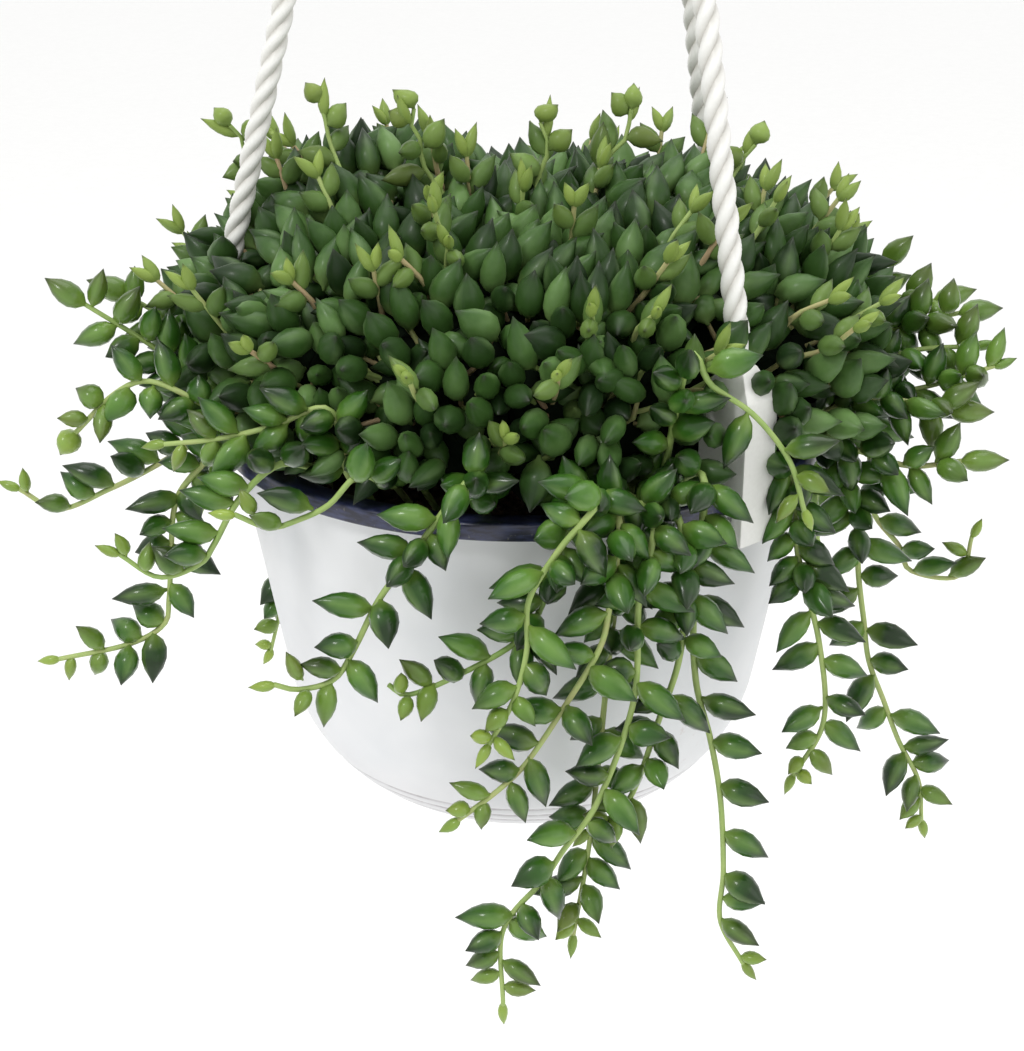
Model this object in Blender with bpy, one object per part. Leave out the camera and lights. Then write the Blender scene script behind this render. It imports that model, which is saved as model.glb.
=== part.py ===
# Hanging pot of string of tears: a white cover pot, a dark nursery pot with its soil,
# a hanger of three arms and a hook, and a trailing succulent with pointed round leaves.
# Metres, +Z up. The origin is the point inside the hook where the whole thing hangs.
# Lengths below are given from the middle of the cover pot's rim, which hangs under the hook.

import bpy
import bmesh
import math
import random
import numpy as np
from mathutils import Matrix, Vector
from mathutils.bvhtree import BVHTree

# Hanging height and the hook's small offset towards the heavier side of the plant
HANG_DROP = 0.432
HOOK_SIDE = 0.009

# White cover pot
RIM_RADIUS = 0.0865
BEAD_RADIUS = 0.0880
BEAD_HEIGHT = 0.0045
BEAD_CHAMFER = 0.0006
BEAD_LEAN = 0.0002
BEAD_SHOULDER = 0.0012
WALL_TAPER = math.radians(10.0)
COVER_WALL = 0.0022
COVER_DEPTH = 0.120
BASE_RADIUS = 0.023
BASE_ROUND = 0.050
OUTER_ARC_STEPS = 4
INNER_ARC_STEPS = 3

# Dark nursery pot, which hangs in the cover pot by its lip
LIP_RADIUS = 0.0895
LIP_TOP = 0.0015
LIP_SKIRT = 0.0050
LIP_CHAMFER = 0.0008
NURSERY_RADIUS = 0.0826
NURSERY_WALL = 0.0012
NURSERY_TAPER = math.radians(13.0)
NURSERY_DEPTH = 0.096
DRAIN_HOLES = 6
DRAIN_RADIUS = 0.0040
DRAIN_RING = 0.038
DRAIN_TURN = 30.0

# Soil
SOIL_LEVEL = -0.0110
SOIL_CROWN = 0.0020
SOIL_SHOULDER = (0.050, 0.7)
HOLE_DEPTH = 0.0095
HOLE_PLAY = 0.00060

# Hanger
ARM_AZIMUTHS = {"left": -85.0, "front_right": 41.0, "back_right": 135.5}
ARM_RADIUS = 0.0031
FOOT_RING = 0.0867
FOOT_DEPTH = 0.0170
FOOT_WIDTH = 0.0120
FOOT_WALL = 0.0038
FOOT_CLAW = 0.0050
CLAW_LEVELS = (0.0004, 0.0020, 0.0050, 0.0062)
FOOT_LEG = 0.0060
FOOT_PLAY = 0.0010
FOOT_SHOULDER = 0.0290
FOOT_TOP = 0.0370
GABLE_SUNK = 0.0010
GABLE_PLAY = 0.0002
GABLE_TOP = (0.0066, 0.0056)
NECK_RADIUS = 0.0027
NECK_SUNK = 0.0040
NECK_LENGTH = 0.0080
ROPE_OVERLAP = 0.0020
ROPE_SIDES = 10
SPIGOT_LENGTH = 0.0060
SPIGOT_SHARE = 0.8
SPIGOT_SUNK = 0.0030
HUB_PLAY = 0.0015
HUB_BOTTOM = 0.3790
HUB_HEIGHT = 0.0140
HUB_RADIUS = 0.0125
HUB_CHAMFER = 0.0010
HUB_SIDE = 0.0090
HUB_CROWN = 0.0050
SOCKET_RING = 0.0074
SOCKET_DEPTH = 0.0105
HOOK_WIRE = 0.0024
HOOK_BEND = 0.0130
HOOK_SUNK = 0.0030
HOOK_TURN = (-90.0, 195.0)
HOOK_STEPS = 13

# Plant
STEM_RADIUS = 0.0011
STEM_NARROWING = 0.35
STEM_BALLS = 0.0022
ROOT_RINGS = (0.072, 0.065, 0.058, 0.0685)
LEAF_LENGTH = 0.0155
LEAF_WIDTH = 0.0088
LEAF_THICKNESS = 0.78
LEAF_SIDES = 4
LEAF_BELLY = 0.44
LEAF_STEP = 0.0152
FIRST_LEAF = 0.046
# along the leaf, and the width there as a share of the greatest
LEAF_BALLS = ((0.20, 0.56), (0.36, 1.0), (0.54, 0.86), (0.70, 0.66), (0.84, 0.38), (0.97, 0.10))
LEAF_TRIES = 7
LEAF_GROWTH = (0.45, 0.040)
TIP_LEAF = (0.5, 0.42)
STEM_STEP = 0.017
COLLAR_HEIGHT = 0.0020
CREST_RING = 0.0845
CREST_RISE = 0.0058
CREST_RAMP = 0.0030

# Crown: bunches that share one dome between them. Their shares are measured in
# directions from a point below the soil, and each one's leaves stand on its outer side.
DOME_CENTRE = Vector((0.0, 0.0, -0.030))
DOME_LEFT = 0.098
DOME_RIGHT = 0.103
DOME_DEPTH = 0.085
DOME_FOOT = 0.0125
DOME_RISE = 0.045
DOME_POWER = 3.0
# its higher places: middle (x, y), spread and extra height
DOME_HUMPS = (((-0.048, 0.020), 0.024, 0.017), ((0.050, 0.018), 0.022, 0.008))
BUNCH_FLOOR = 0.0092
BUNCH_EDGE = 0.0132
BUNCH_HOLLOW = 0.55
BUNCH_THINNEST = 0.005
EDGE_STEP = 0.03
BUNCH_GRID = 6
GRID_JITTER = 0.16
BUNCH_PLAY = 0.0045
BUNCH_STEM = 0.0022
ARM_CLEAR = (0.074, 0.0088)
STEM_CLEAR = 0.0055
CORE_BALL = 0.0045
SHOOT_SUNK = 0.0030
SHOOT_INWARD = 0.14
SHOOT_LEAF_STEP = 0.0085
CORE_DEPTH = 0.0020
CROWN_LEAF = 0.0175
CROWN_BELLY = 0.40
CROWN_SWELL = 0.86
CROWN_BALLS = ((0.18, 0.74), (0.30, 0.84), (0.42, 0.86), (0.54, 0.72), (0.66, 0.54), (0.82, 0.32),
               (0.97, 0.08))
CROWN_TRIES = 12
CROWN_STRAY = 0.26
CROWN_SHRINK = 0.035
LEAN_SWAY = 0.34
LEAN_WAVE = 0.062

GAP = 0.0003
MERGE = 0.00001
TURN_STEPS = 36
CURVE_PARTS = 16
SOCKET_PLAY = 0.0006

# Where the outlines were measured from: the eye's distance to the rim's middle, its
# height angle, the picture's centre and the length of one unit slope, in picture points
EYE_RANGE = 0.600
EYE_HEIGHT = math.radians(20.0)
EYE_DOWN = math.radians(3.26)
EYE_LEFT = math.radians(0.31)
PICTURE_SCALE = 2010.0
PICTURE_MIDDLE = (512.0, 525.5)

rng = random.Random(41)


def clearScene():
    for item in list(bpy.data.objects):
        bpy.data.objects.remove(item, do_unlink=True)


def makeMaterial(name, colour, roughness, metallic=0.0):
    material = bpy.data.materials.new(name)
    material.use_nodes = True
    shader = material.node_tree.nodes["Principled BSDF"]
    shader.inputs["Base Color"].default_value = (*colour, 1.0)
    shader.inputs["Roughness"].default_value = roughness
    shader.inputs["Metallic"].default_value = metallic
    return material


def addObject(name, mesh, material, smooth=False):
    item = bpy.data.objects.new(name, mesh)
    bpy.context.scene.collection.objects.link(item)
    mesh.materials.clear()
    mesh.materials.append(material)
    if smooth:
        mesh.shade_smooth()
        mesh.set_sharp_from_angle(angle=math.radians(35.0))
    return item


def meshFrom(bm, name):
    bmesh.ops.remove_doubles(bm, verts=bm.verts[:], dist=MERGE)
    bmesh.ops.recalc_face_normals(bm, faces=bm.faces[:])
    mesh = bpy.data.meshes.new(name)
    bm.to_mesh(mesh)
    bm.free()
    return mesh


def around(azimuth, radius, height):
    # azimuth in degrees, 0 at the front (-Y) and positive towards +X
    turn = math.radians(azimuth)
    return Vector((radius * math.sin(turn), -radius * math.cos(turn), height))


def arcPoints(centre, radius, start, end, count):
    # points (r, z) on an arc in the turned profile's plane, angles in degrees
    points = []
    for step in range(count + 1):
        angle = math.radians(start + (end - start) * step / count)
        points.append((centre[0] + radius * math.cos(angle), centre[1] + radius * math.sin(angle)))
    return points


def turned(name, profile, closed, steps=TURN_STEPS):
    # solid turned about Z from points (r, z)
    bm = bmesh.new()
    verts = [bm.verts.new((radius, 0.0, height)) for radius, height in profile]
    pairs = list(zip(verts, verts[1:]))
    if closed:
        pairs.append((verts[-1], verts[0]))
    edges = [bm.edges.new(pair) for pair in pairs]
    bmesh.ops.spin(bm, geom=verts + edges, cent=(0.0, 0.0, 0.0), axis=(0.0, 0.0, 1.0),
                   angle=math.tau, steps=steps, use_merge=True)
    return meshFrom(bm, name)


def tube(name, points, radii, sides, spin=0.0):
    # closed tube through the points, with a radius at each
    bm = bmesh.new()
    rings = []
    sideways = Vector((0.0, 0.0, 1.0)).cross(points[1] - points[0])
    if sideways.length < 1e-6:
        sideways = Vector((1.0, 0.0, 0.0))
    for index, point in enumerate(points):
        ahead = points[min(index + 1, len(points) - 1)] - points[max(index - 1, 0)]
        ahead.normalize()
        sideways = (sideways - ahead * sideways.dot(ahead)).normalized()
        other = ahead.cross(sideways)
        ring = []
        for side in range(sides):
            angle = math.tau * side / sides + spin
            offset = sideways * math.cos(angle) + other * math.sin(angle)
            ring.append(bm.verts.new(point + offset * radii[index]))
        rings.append(ring)
    for lower, upper in zip(rings, rings[1:]):
        for side in range(sides):
            following = (side + 1) % sides
            bm.faces.new((lower[side], lower[following], upper[following], upper[side]))
    bm.faces.new(rings[0][::-1])
    bm.faces.new(rings[-1])
    return meshFrom(bm, name)


def smoothPath(points, step):
    # evenly spaced points on a Catmull-Rom curve through the given points
    fine = []
    padded = [points[0] * 2.0 - points[1]] + list(points) + [points[-1] * 2.0 - points[-2]]
    for before, start, end, after in zip(padded, padded[1:], padded[2:], padded[3:]):
        for part in range(CURVE_PARTS):
            t = part / CURVE_PARTS
            fine.append(0.5 * (2.0 * start + (end - before) * t
                               + (2.0 * before - 5.0 * start + 4.0 * end - after) * t ** 2
                               + (3.0 * start - before - 3.0 * end + after) * t ** 3))
    fine.append(points[-1])
    lengths = [0.0]
    for here, there in zip(fine, fine[1:]):
        lengths.append(lengths[-1] + (there - here).length)
    count = max(3, round(lengths[-1] / step))
    path = []
    segment = 0
    for index in range(count + 1):
        target = lengths[-1] * index / count
        while segment < len(fine) - 2 and lengths[segment + 1] < target:
            segment += 1
        span = lengths[segment + 1] - lengths[segment]
        share = (target - lengths[segment]) / span if span > 0.0 else 0.0
        path.append(fine[segment].lerp(fine[segment + 1], share))
    return path


def joinAll(name, body, others, material):
    # one closed solid from a body and the pieces sunk into it
    base = addObject(name, body, material)
    group = bpy.data.collections.new(name + "_pieces")
    bpy.context.scene.collection.children.link(group)
    for mesh in others:
        group.objects.link(bpy.data.objects.new(mesh.name, mesh))
    union = base.modifiers.new("join", "BOOLEAN")
    union.operation = "UNION"
    union.operand_type = "COLLECTION"
    union.collection = group
    union.solver = "MANIFOLD"
    evaluated = base.evaluated_get(bpy.context.evaluated_depsgraph_get())
    joined = bpy.data.meshes.new_from_object(evaluated)
    base.modifiers.remove(union)
    for item in list(group.objects):
        bpy.data.objects.remove(item, do_unlink=True)
    bpy.data.collections.remove(group)
    base.data = joined
    joined.materials.clear()
    joined.materials.append(material)
    return base


def cutWith(item, cutterMesh):
    # plain cut, applied
    cutter = bpy.data.objects.new("cutter", cutterMesh)
    bpy.context.scene.collection.objects.link(cutter)
    cut = item.modifiers.new("cut", "BOOLEAN")
    cut.operation = "DIFFERENCE"
    cut.object = cutter
    cut.solver = "MANIFOLD"
    evaluated = item.evaluated_get(bpy.context.evaluated_depsgraph_get())
    result = bpy.data.meshes.new_from_object(evaluated)
    item.modifiers.remove(cut)
    bpy.data.objects.remove(cutter, do_unlink=True)
    item.data = result


# The cover pot's outside, shared by the wall and by what hangs clear of it

def coverOutside():
    centre = (BASE_RADIUS, BASE_ROUND - COVER_DEPTH)
    arc = arcPoints(centre, BASE_ROUND, -90.0, -math.degrees(WALL_TAPER), OUTER_ARC_STEPS)
    return arc


def coverRadius(height):
    # outer radius of the cover pot or the nursery pot's lip at a height
    if height > -LIP_SKIRT:
        return LIP_RADIUS
    tangent = coverOutside()[-1]
    if height > tangent[1]:
        return tangent[0] + (height - tangent[1]) * math.tan(WALL_TAPER)
    drop = min(1.0, (BASE_ROUND - COVER_DEPTH - height) / BASE_ROUND)
    return BASE_RADIUS + BASE_ROUND * math.sqrt(max(0.0, 1.0 - drop * drop))


def buildCoverPot(material):
    outside = [(0.0, -COVER_DEPTH)] + coverOutside()
    tangent = outside[-1]
    beadUnder = -BEAD_HEIGHT
    wallTop = tangent[0] + (beadUnder - tangent[1]) * math.tan(WALL_TAPER)
    bead = [(wallTop, beadUnder), (BEAD_RADIUS, beadUnder + BEAD_CHAMFER),
            (BEAD_RADIUS - BEAD_LEAN, -BEAD_SHOULDER), (RIM_RADIUS, 0.0)]
    innerTop = tangent[0] - tangent[1] * math.tan(WALL_TAPER) - COVER_WALL
    centre = (BASE_RADIUS, BASE_ROUND - COVER_DEPTH)
    inside = arcPoints(centre, BASE_ROUND - COVER_WALL, -math.degrees(WALL_TAPER), -90.0,
                       INNER_ARC_STEPS)
    profile = outside + bead + [(innerTop, 0.0)] + inside + [(0.0, COVER_WALL - COVER_DEPTH)]
    mesh = turned("outer_pot", profile, closed=False)
    return addObject("outer_pot", mesh, material, smooth=True)


def nurseryInside(height):
    return NURSERY_RADIUS - NURSERY_WALL + height * math.tan(NURSERY_TAPER)


def buildNurseryPot(material):
    bottomOuter = NURSERY_RADIUS - NURSERY_DEPTH * math.tan(NURSERY_TAPER)
    floor = NURSERY_WALL - NURSERY_DEPTH
    lipUnder = GAP
    profile = [
        (0.0, -NURSERY_DEPTH),
        (bottomOuter, -NURSERY_DEPTH),
        (NURSERY_RADIUS, lipUnder),
        (BEAD_RADIUS + GAP, lipUnder),
        (BEAD_RADIUS + GAP, -LIP_SKIRT + LIP_TOP),
        (LIP_RADIUS, -LIP_SKIRT + LIP_TOP),
        (LIP_RADIUS, LIP_TOP - LIP_CHAMFER),
        (LIP_RADIUS - LIP_CHAMFER, LIP_TOP),
        (nurseryInside(LIP_TOP), LIP_TOP),
        (nurseryInside(floor), floor),
        (0.0, floor),
    ]
    pot = addObject("nursery_pot", turned("nursery_pot", profile, closed=False), material, smooth=True)
    bm = bmesh.new()
    for index in range(DRAIN_HOLES):
        middle = around(360.0 * index / DRAIN_HOLES + DRAIN_TURN, DRAIN_RING,
                        NURSERY_WALL / 2.0 - NURSERY_DEPTH)
        bmesh.ops.create_cone(bm, cap_ends=True, segments=6, radius1=DRAIN_RADIUS, radius2=DRAIN_RADIUS,
                              depth=NURSERY_WALL * 4.0, matrix=Matrix.Translation(middle))
    cutWith(pot, meshFrom(bm, "drain_cutter"))
    return pot


def buildSoil(material, holes):
    bottom = NURSERY_WALL - NURSERY_DEPTH + GAP
    side = SOIL_LEVEL
    profile = [
        (0.0, bottom),
        (nurseryInside(bottom) - GAP, bottom),
        (nurseryInside(side) - GAP, side),
        (SOIL_SHOULDER[0], SOIL_LEVEL + SOIL_CROWN * SOIL_SHOULDER[1]),
        (0.0, SOIL_LEVEL + SOIL_CROWN),
    ]
    soil = addObject("potting_soil", turned("potting_soil", profile, closed=False), material)
    bm = bmesh.new()
    for place, radius, top in holes:
        middle = Vector((place.x, place.y, (place.z - GAP + top) / 2.0))
        bmesh.ops.create_cone(bm, cap_ends=True, segments=5, radius1=radius, radius2=radius,
                              depth=top - place.z + GAP, matrix=Matrix.Translation(middle))
    cutWith(soil, meshFrom(bm, "hole_cutter"))
    return soil


# Hanger

def armPoints(azimuth):
    # from the foot's top to the hub's socket
    foot = around(azimuth, FOOT_RING, FOOT_TOP)
    toHub = Vector((HOOK_SIDE, 0.0, 0.0)) + around(azimuth, SOCKET_RING, HUB_BOTTOM)
    return foot, toHub


def footPiece(azimuth):
    # inverted U over both rims, cut from a block, with a claw under the white bead
    inner = FOOT_RING - FOOT_DEPTH / 2.0
    outer = FOOT_RING + FOOT_DEPTH / 2.0
    legBottom = SOIL_LEVEL + FOOT_LEG
    slotInner = nurseryInside(0.0) - FOOT_PLAY
    slotInnerLow = nurseryInside(legBottom) - FOOT_PLAY
    slotOuter = outer - FOOT_WALL
    slotTop = LIP_TOP + GAP
    clawTop = -LIP_SKIRT - GAP
    clawTip = slotOuter - FOOT_CLAW
    outline = [
        (inner, legBottom), (slotInnerLow, legBottom), (slotInner, 0.0), (slotInner, slotTop),
        (slotOuter, slotTop), (slotOuter, clawTop), (clawTip, clawTop - CLAW_LEVELS[0]),
        (clawTip, clawTop - CLAW_LEVELS[1]), (slotOuter, clawTop - CLAW_LEVELS[2]),
        (outer, clawTop - CLAW_LEVELS[3]),
        (outer, FOOT_SHOULDER), (inner, FOOT_SHOULDER),
    ]
    bm = bmesh.new()
    face = bm.faces.new([bm.verts.new((radius, -FOOT_WIDTH / 2.0, height)) for radius, height in outline])
    made = bmesh.ops.extrude_face_region(bm, geom=[face])
    moved = [item for item in made["geom"] if isinstance(item, bmesh.types.BMVert)]
    bmesh.ops.translate(bm, verts=moved, vec=(0.0, FOOT_WIDTH, 0.0))
    bm.transform(Matrix.Rotation(math.radians(azimuth - 90.0), 4, "Z"))
    return meshFrom(bm, "foot")


def gablePiece(azimuth):
    # hipped top that narrows from the block to the neck
    bm = bmesh.new()
    rings = []
    for height, depth, width in ((FOOT_SHOULDER - GABLE_SUNK, FOOT_DEPTH - GABLE_PLAY,
                                  FOOT_WIDTH - GABLE_PLAY), (FOOT_TOP, *GABLE_TOP)):
        ring = []
        for across, along in ((-0.5, -0.5), (0.5, -0.5), (0.5, 0.5), (-0.5, 0.5)):
            ring.append(bm.verts.new((FOOT_RING + across * depth, along * width, height)))
        rings.append(ring)
    for side in range(4):
        following = (side + 1) % 4
        bm.faces.new((rings[0][side], rings[0][following], rings[1][following], rings[1][side]))
    bm.faces.new(rings[0][::-1])
    bm.faces.new(rings[1])
    bm.transform(Matrix.Rotation(math.radians(azimuth - 90.0), 4, "Z"))
    return meshFrom(bm, "gable")


def buildArm(name, azimuth, material):
    foot, top = armPoints(azimuth)
    rise = (top - foot).normalized()
    ropeStart = foot + rise * NECK_LENGTH
    spigot = top + rise * SPIGOT_LENGTH
    neck = tube("neck", [foot - Vector((0.0, 0.0, NECK_SUNK)), foot, ropeStart + rise * ROPE_OVERLAP],
                [NECK_RADIUS] * 3, 8)
    rope = tube("rope", [ropeStart, top - rise * HUB_PLAY], [ARM_RADIUS] * 2, ROPE_SIDES)
    peg = tube("spigot", [top - rise * SPIGOT_SUNK, spigot], [NECK_RADIUS * SPIGOT_SHARE] * 2, 8)
    return joinAll(name, footPiece(azimuth), [gablePiece(azimuth), neck, rope, peg], material)


def buildHook(material):
    hub = turned("hanger_hook", [
        (0.0, HUB_BOTTOM), (HUB_RADIUS - HUB_CHAMFER, HUB_BOTTOM), (HUB_RADIUS, HUB_BOTTOM + HUB_CHAMFER),
        (HUB_RADIUS, HUB_BOTTOM + HUB_SIDE), (HUB_CROWN, HUB_BOTTOM + HUB_HEIGHT),
        (0.0, HUB_BOTTOM + HUB_HEIGHT),
    ], closed=False, steps=16)
    hub.transform(Matrix.Translation((HOOK_SIDE, 0.0, 0.0)))
    bend = Vector((HOOK_SIDE, 0.0, HANG_DROP + HOOK_WIRE - HOOK_BEND))
    path = [Vector((HOOK_SIDE, 0.0, HUB_BOTTOM + HUB_HEIGHT - HOOK_SUNK))]
    for step in range(HOOK_STEPS + 1):
        angle = math.radians(HOOK_TURN[0] + (HOOK_TURN[1] - HOOK_TURN[0]) * step / HOOK_STEPS)
        path.append(bend + Vector((math.cos(angle), 0.0, math.sin(angle))) * HOOK_BEND)
    wire = tube("hook_wire", path, [HOOK_WIRE] * len(path), 6)
    hook = joinAll("hanger_hook", hub, [wire], material)
    bm = bmesh.new()
    socket = NECK_RADIUS * SPIGOT_SHARE + SOCKET_PLAY
    for azimuth in ARM_AZIMUTHS.values():
        foot, top = armPoints(azimuth)
        rise = (top - foot).normalized()
        turn = Vector((0.0, 0.0, 1.0)).rotation_difference(rise).to_matrix().to_4x4()
        place = Matrix.Translation(top + rise * HUB_PLAY) @ turn
        bmesh.ops.create_cone(bm, cap_ends=True, segments=8, radius1=socket, radius2=socket,
                              depth=SOCKET_DEPTH, matrix=place)
    cutWith(hook, meshFrom(bm, "socket_cutter"))
    return hook


# Room already taken, as balls: a new leaf has to be clear of every other piece's balls

class Room:
    def __init__(self):
        self.centres = np.zeros((0, 3))
        self.radii = np.zeros(0)
        self.owners = np.zeros(0, dtype=int)

    def add(self, centres, radii, owner):
        self.centres = np.vstack([self.centres, np.array([tuple(c) for c in centres])])
        self.radii = np.concatenate([self.radii, np.array(radii)])
        self.owners = np.concatenate([self.owners, np.full(len(radii), owner)])

    def free(self, centres, radii, owner):
        others = self.owners != owner
        for centre, radius in zip(centres, radii):
            if not clearOfPot(centre, radius):
                return False
            if others.any():
                apart = np.linalg.norm(self.centres[others] - np.array(tuple(centre)), axis=1)
                if (apart < self.radii[others] + radius + GAP).any():
                    return False
        return True


def clearOfPot(centre, radius):
    out = math.hypot(centre.x, centre.y)
    if centre.z - radius > LIP_TOP + GAP:
        return True
    return out - coverRadius(centre.z + radius) > radius + GAP and out > BASE_RADIUS + BASE_ROUND * 0.74


room = Room()


def leafMesh(base, axis, facing, length, width):
    # pointed lemon shape: a point at the stem, a wide belly and a pointed tip
    across = axis.cross(facing).normalized()
    through = across.cross(axis).normalized()
    bm = bmesh.new()
    foot = bm.verts.new(base)
    tip = bm.verts.new(base + axis * length)
    belly = []
    for side in range(LEAF_SIDES):
        angle = math.tau * side / LEAF_SIDES
        offset = across * math.cos(angle) + through * math.sin(angle) * LEAF_THICKNESS
        belly.append(bm.verts.new(base + axis * length * LEAF_BELLY + offset * width / 2.0))
    for side in range(LEAF_SIDES):
        following = (side + 1) % LEAF_SIDES
        bm.faces.new((foot, belly[following], belly[side]))
        bm.faces.new((belly[side], belly[following], tip))
    return meshFrom(bm, "leaf")


def leafBalls(base, axis, length, width):
    centres = [base + axis * length * along for along, share in LEAF_BALLS]
    return centres, [width / 2.0 * share for along, share in LEAF_BALLS]


def tryLeaf(base, aim, facing, length, width, owner):
    # a few slightly different directions, then the leaf is left out
    for attempt in range(LEAF_TRIES):
        spread = 0.12 + 0.11 * attempt
        axis = (aim + Vector([rng.uniform(-spread, spread) for _ in range(3)])).normalized()
        size = length * (1.0 - 0.05 * attempt)
        centres, radii = leafBalls(base, axis, size, width)
        if room.free(centres[1:], radii[1:], owner):
            room.add(centres, radii, owner)
            return leafMesh(base, axis, facing, size, width * (1.0 - 0.03 * attempt))
    return None


def leavesAlong(path, side, facing, owner, first=0.0, step=LEAF_STEP):
    # alternate or one-sided leaves, smaller towards the growing tip
    meshes = []
    lengths = [0.0]
    for here, there in zip(path, path[1:]):
        lengths.append(lengths[-1] + (there - here).length)
    total = lengths[-1]
    place = first
    turn = 1
    while place <= total - 0.002:
        index = max(i for i in range(len(path) - 1) if lengths[i] <= place)
        ahead = (path[index + 1] - path[index]).normalized()
        base = path[index] + ahead * (place - lengths[index])
        right = facing(base).cross(ahead).normalized()
        away = total - place
        growth = min(1.0, LEAF_GROWTH[0] + away / LEAF_GROWTH[1])
        way = side if side else turn
        aim = right * way * 0.88 + ahead * 0.50 + facing(base) * rng.uniform(0.0, 0.35)
        mesh = tryLeaf(base, aim, facing(base), LEAF_LENGTH * growth * rng.uniform(0.9, 1.08),
                       LEAF_WIDTH * growth * rng.uniform(0.94, 1.05), owner)
        if mesh:
            meshes.append(mesh)
        turn = -turn
        place += step * (0.65 + 0.35 * growth) * rng.uniform(0.9, 1.1)
    ahead = (path[-1] - path[-2]).normalized()
    mesh = tryLeaf(path[-1] - ahead * 0.001, ahead, facing(path[-1]),
                   LEAF_LENGTH * TIP_LEAF[0], LEAF_WIDTH * TIP_LEAF[1], owner)
    if mesh:
        meshes.append(mesh)
    return meshes


# Strands. Their way across the picture is in picture points, and reach is how far in
# front of the pot's axis each starts and ends, in metres. side says where the leaves are:
# 0 both sides, 1 right of the way it grows, -1 left.

STRANDS = {
    "strand_left_1": {"way": [(205, 385), (150, 345), (85, 305)], "reach": (0.036, 0.040), "side": 0},
    "strand_left_2": {"way": [(198, 402), (150, 382), (115, 395), (75, 435)],
                      "reach": (0.056, 0.052), "side": 0},
    "strand_left_3": {"way": [(330, 410), (270, 428), (215, 440), (165, 445)],
                      "reach": (0.077, 0.066), "side": 0},
    "strand_left_4": {"way": [(200, 440), (150, 470), (110, 490), (60, 510), (20, 490)],
                      "reach": (0.024, 0.016), "side": -1},
    "strand_left_5": {"way": [(235, 435), (190, 480), (175, 510), (172, 560), (170, 600), (165, 625),
                              (130, 645), (60, 660)], "reach": (0.041, 0.040), "side": 0},
    "strand_left_6": {"way": [(280, 465), (240, 500), (215, 545), (200, 565), (160, 578), (120, 555)],
                      "reach": (0.078, 0.074), "side": -1},
    "strand_left_7": {"way": [(360, 475), (330, 505), (300, 520), (270, 528), (235, 515)],
                      "reach": (0.092, 0.092), "side": -1},
    "strand_front_1": {"way": [(470, 480), (410, 560), (380, 600), (355, 650), (335, 680), (300, 690),
                               (275, 685)], "reach": (0.100, 0.105), "side": 0},
    "strand_front_2": {"way": [(570, 520), (545, 600), (520, 640), (460, 675), (410, 695), (390, 685)],
                       "reach": (0.098, 0.102), "side": 0},
    "strand_front_3": {"way": [(600, 500), (560, 550), (530, 600), (528, 650), (515, 700), (490, 745)],
                       "reach": (0.114, 0.120), "side": 0},
    "strand_front_4": {"way": [(620, 520), (610, 610), (600, 650), (570, 700), (530, 760), (500, 790),
                               (460, 820)], "reach": (0.107, 0.112), "side": 0},
    "strand_front_5": {"way": [(655, 520), (640, 600), (635, 700), (600, 800), (565, 850), (545, 880),
                               (505, 930), (505, 1005)], "reach": (0.104, 0.104), "side": 0},
    "strand_front_6": {"way": [(625, 525), (612, 640), (600, 760), (590, 850), (575, 935)],
                       "reach": (0.093, 0.090), "side": 0},
    "strand_front_7": {"way": [(680, 520), (685, 600), (680, 660), (660, 720), (630, 800), (590, 830)],
                       "reach": (0.096, 0.094), "side": 0},
    "strand_front_8": {"way": [(705, 480), (695, 600), (697, 680), (712, 740), (722, 800), (725, 870),
                               (722, 920), (745, 963)], "reach": (0.088, 0.086), "side": 1},
    "strand_front_9": {"way": [(690, 358), (712, 385), (755, 415), (790, 460), (805, 510)],
                       "reach": (0.088, 0.080), "side": 0},
    "strand_right_1": {"way": [(790, 470), (800, 560), (820, 640), (825, 720), (795, 775)],
                       "reach": (0.066, 0.060), "side": 0},
    "strand_right_2": {"way": [(850, 480), (860, 580), (865, 620), (870, 660), (885, 700), (900, 740),
                               (920, 780), (923, 820)], "reach": (0.036, 0.030), "side": 0},
    "strand_right_3": {"way": [(866, 425), (872, 505), (900, 545), (912, 570), (960, 575), (973, 535)],
                       "reach": (0.010, 0.010), "side": 1},
    "strand_right_4": {"way": [(860, 450), (910, 465), (963, 460)], "reach": (0.044, 0.040), "side": 0},
    "strand_right_5": {"way": [(850, 400), (930, 385), (995, 365)], "reach": (0.022, 0.022), "side": 0},
    "strand_right_6": {"way": [(830, 350), (900, 325), (960, 312)], "reach": (0.004, 0.004), "side": 0},
    "strand_right_7": {"way": [(815, 352), (858, 310), (885, 265)], "reach": (-0.022, -0.022), "side": 0},
    "strand_right_8": {"way": [(858, 398), (905, 400), (950, 410)], "reach": (0.034, 0.034), "side": 0},
    "strand_right_9": {"way": [(852, 372), (912, 350), (975, 345)], "reach": (0.012, 0.012), "side": 0},
    "strand_right_10": {"way": [(832, 330), (890, 300), (935, 300)], "reach": (-0.012, -0.012), "side": 0},
    "strand_left_8": {"way": [(205, 365), (165, 320), (130, 298)], "reach": (0.020, 0.022), "side": 0},
}

# Strands on the far side: azimuth, length below the rim and sideways drift, in degrees
BACK_STRANDS = {
    "strand_back_1": (112.0, 0.070, 6.0),
    "strand_back_2": (145.0, 0.115, -8.0),
    "strand_back_3": (163.0, 0.055, 10.0),
    "strand_back_4": (182.0, 0.130, 6.0),
    "strand_back_5": (203.0, 0.085, -10.0),
    "strand_back_6": (224.0, 0.120, 8.0),
    "strand_back_7": (246.0, 0.060, 6.0),
}

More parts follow.
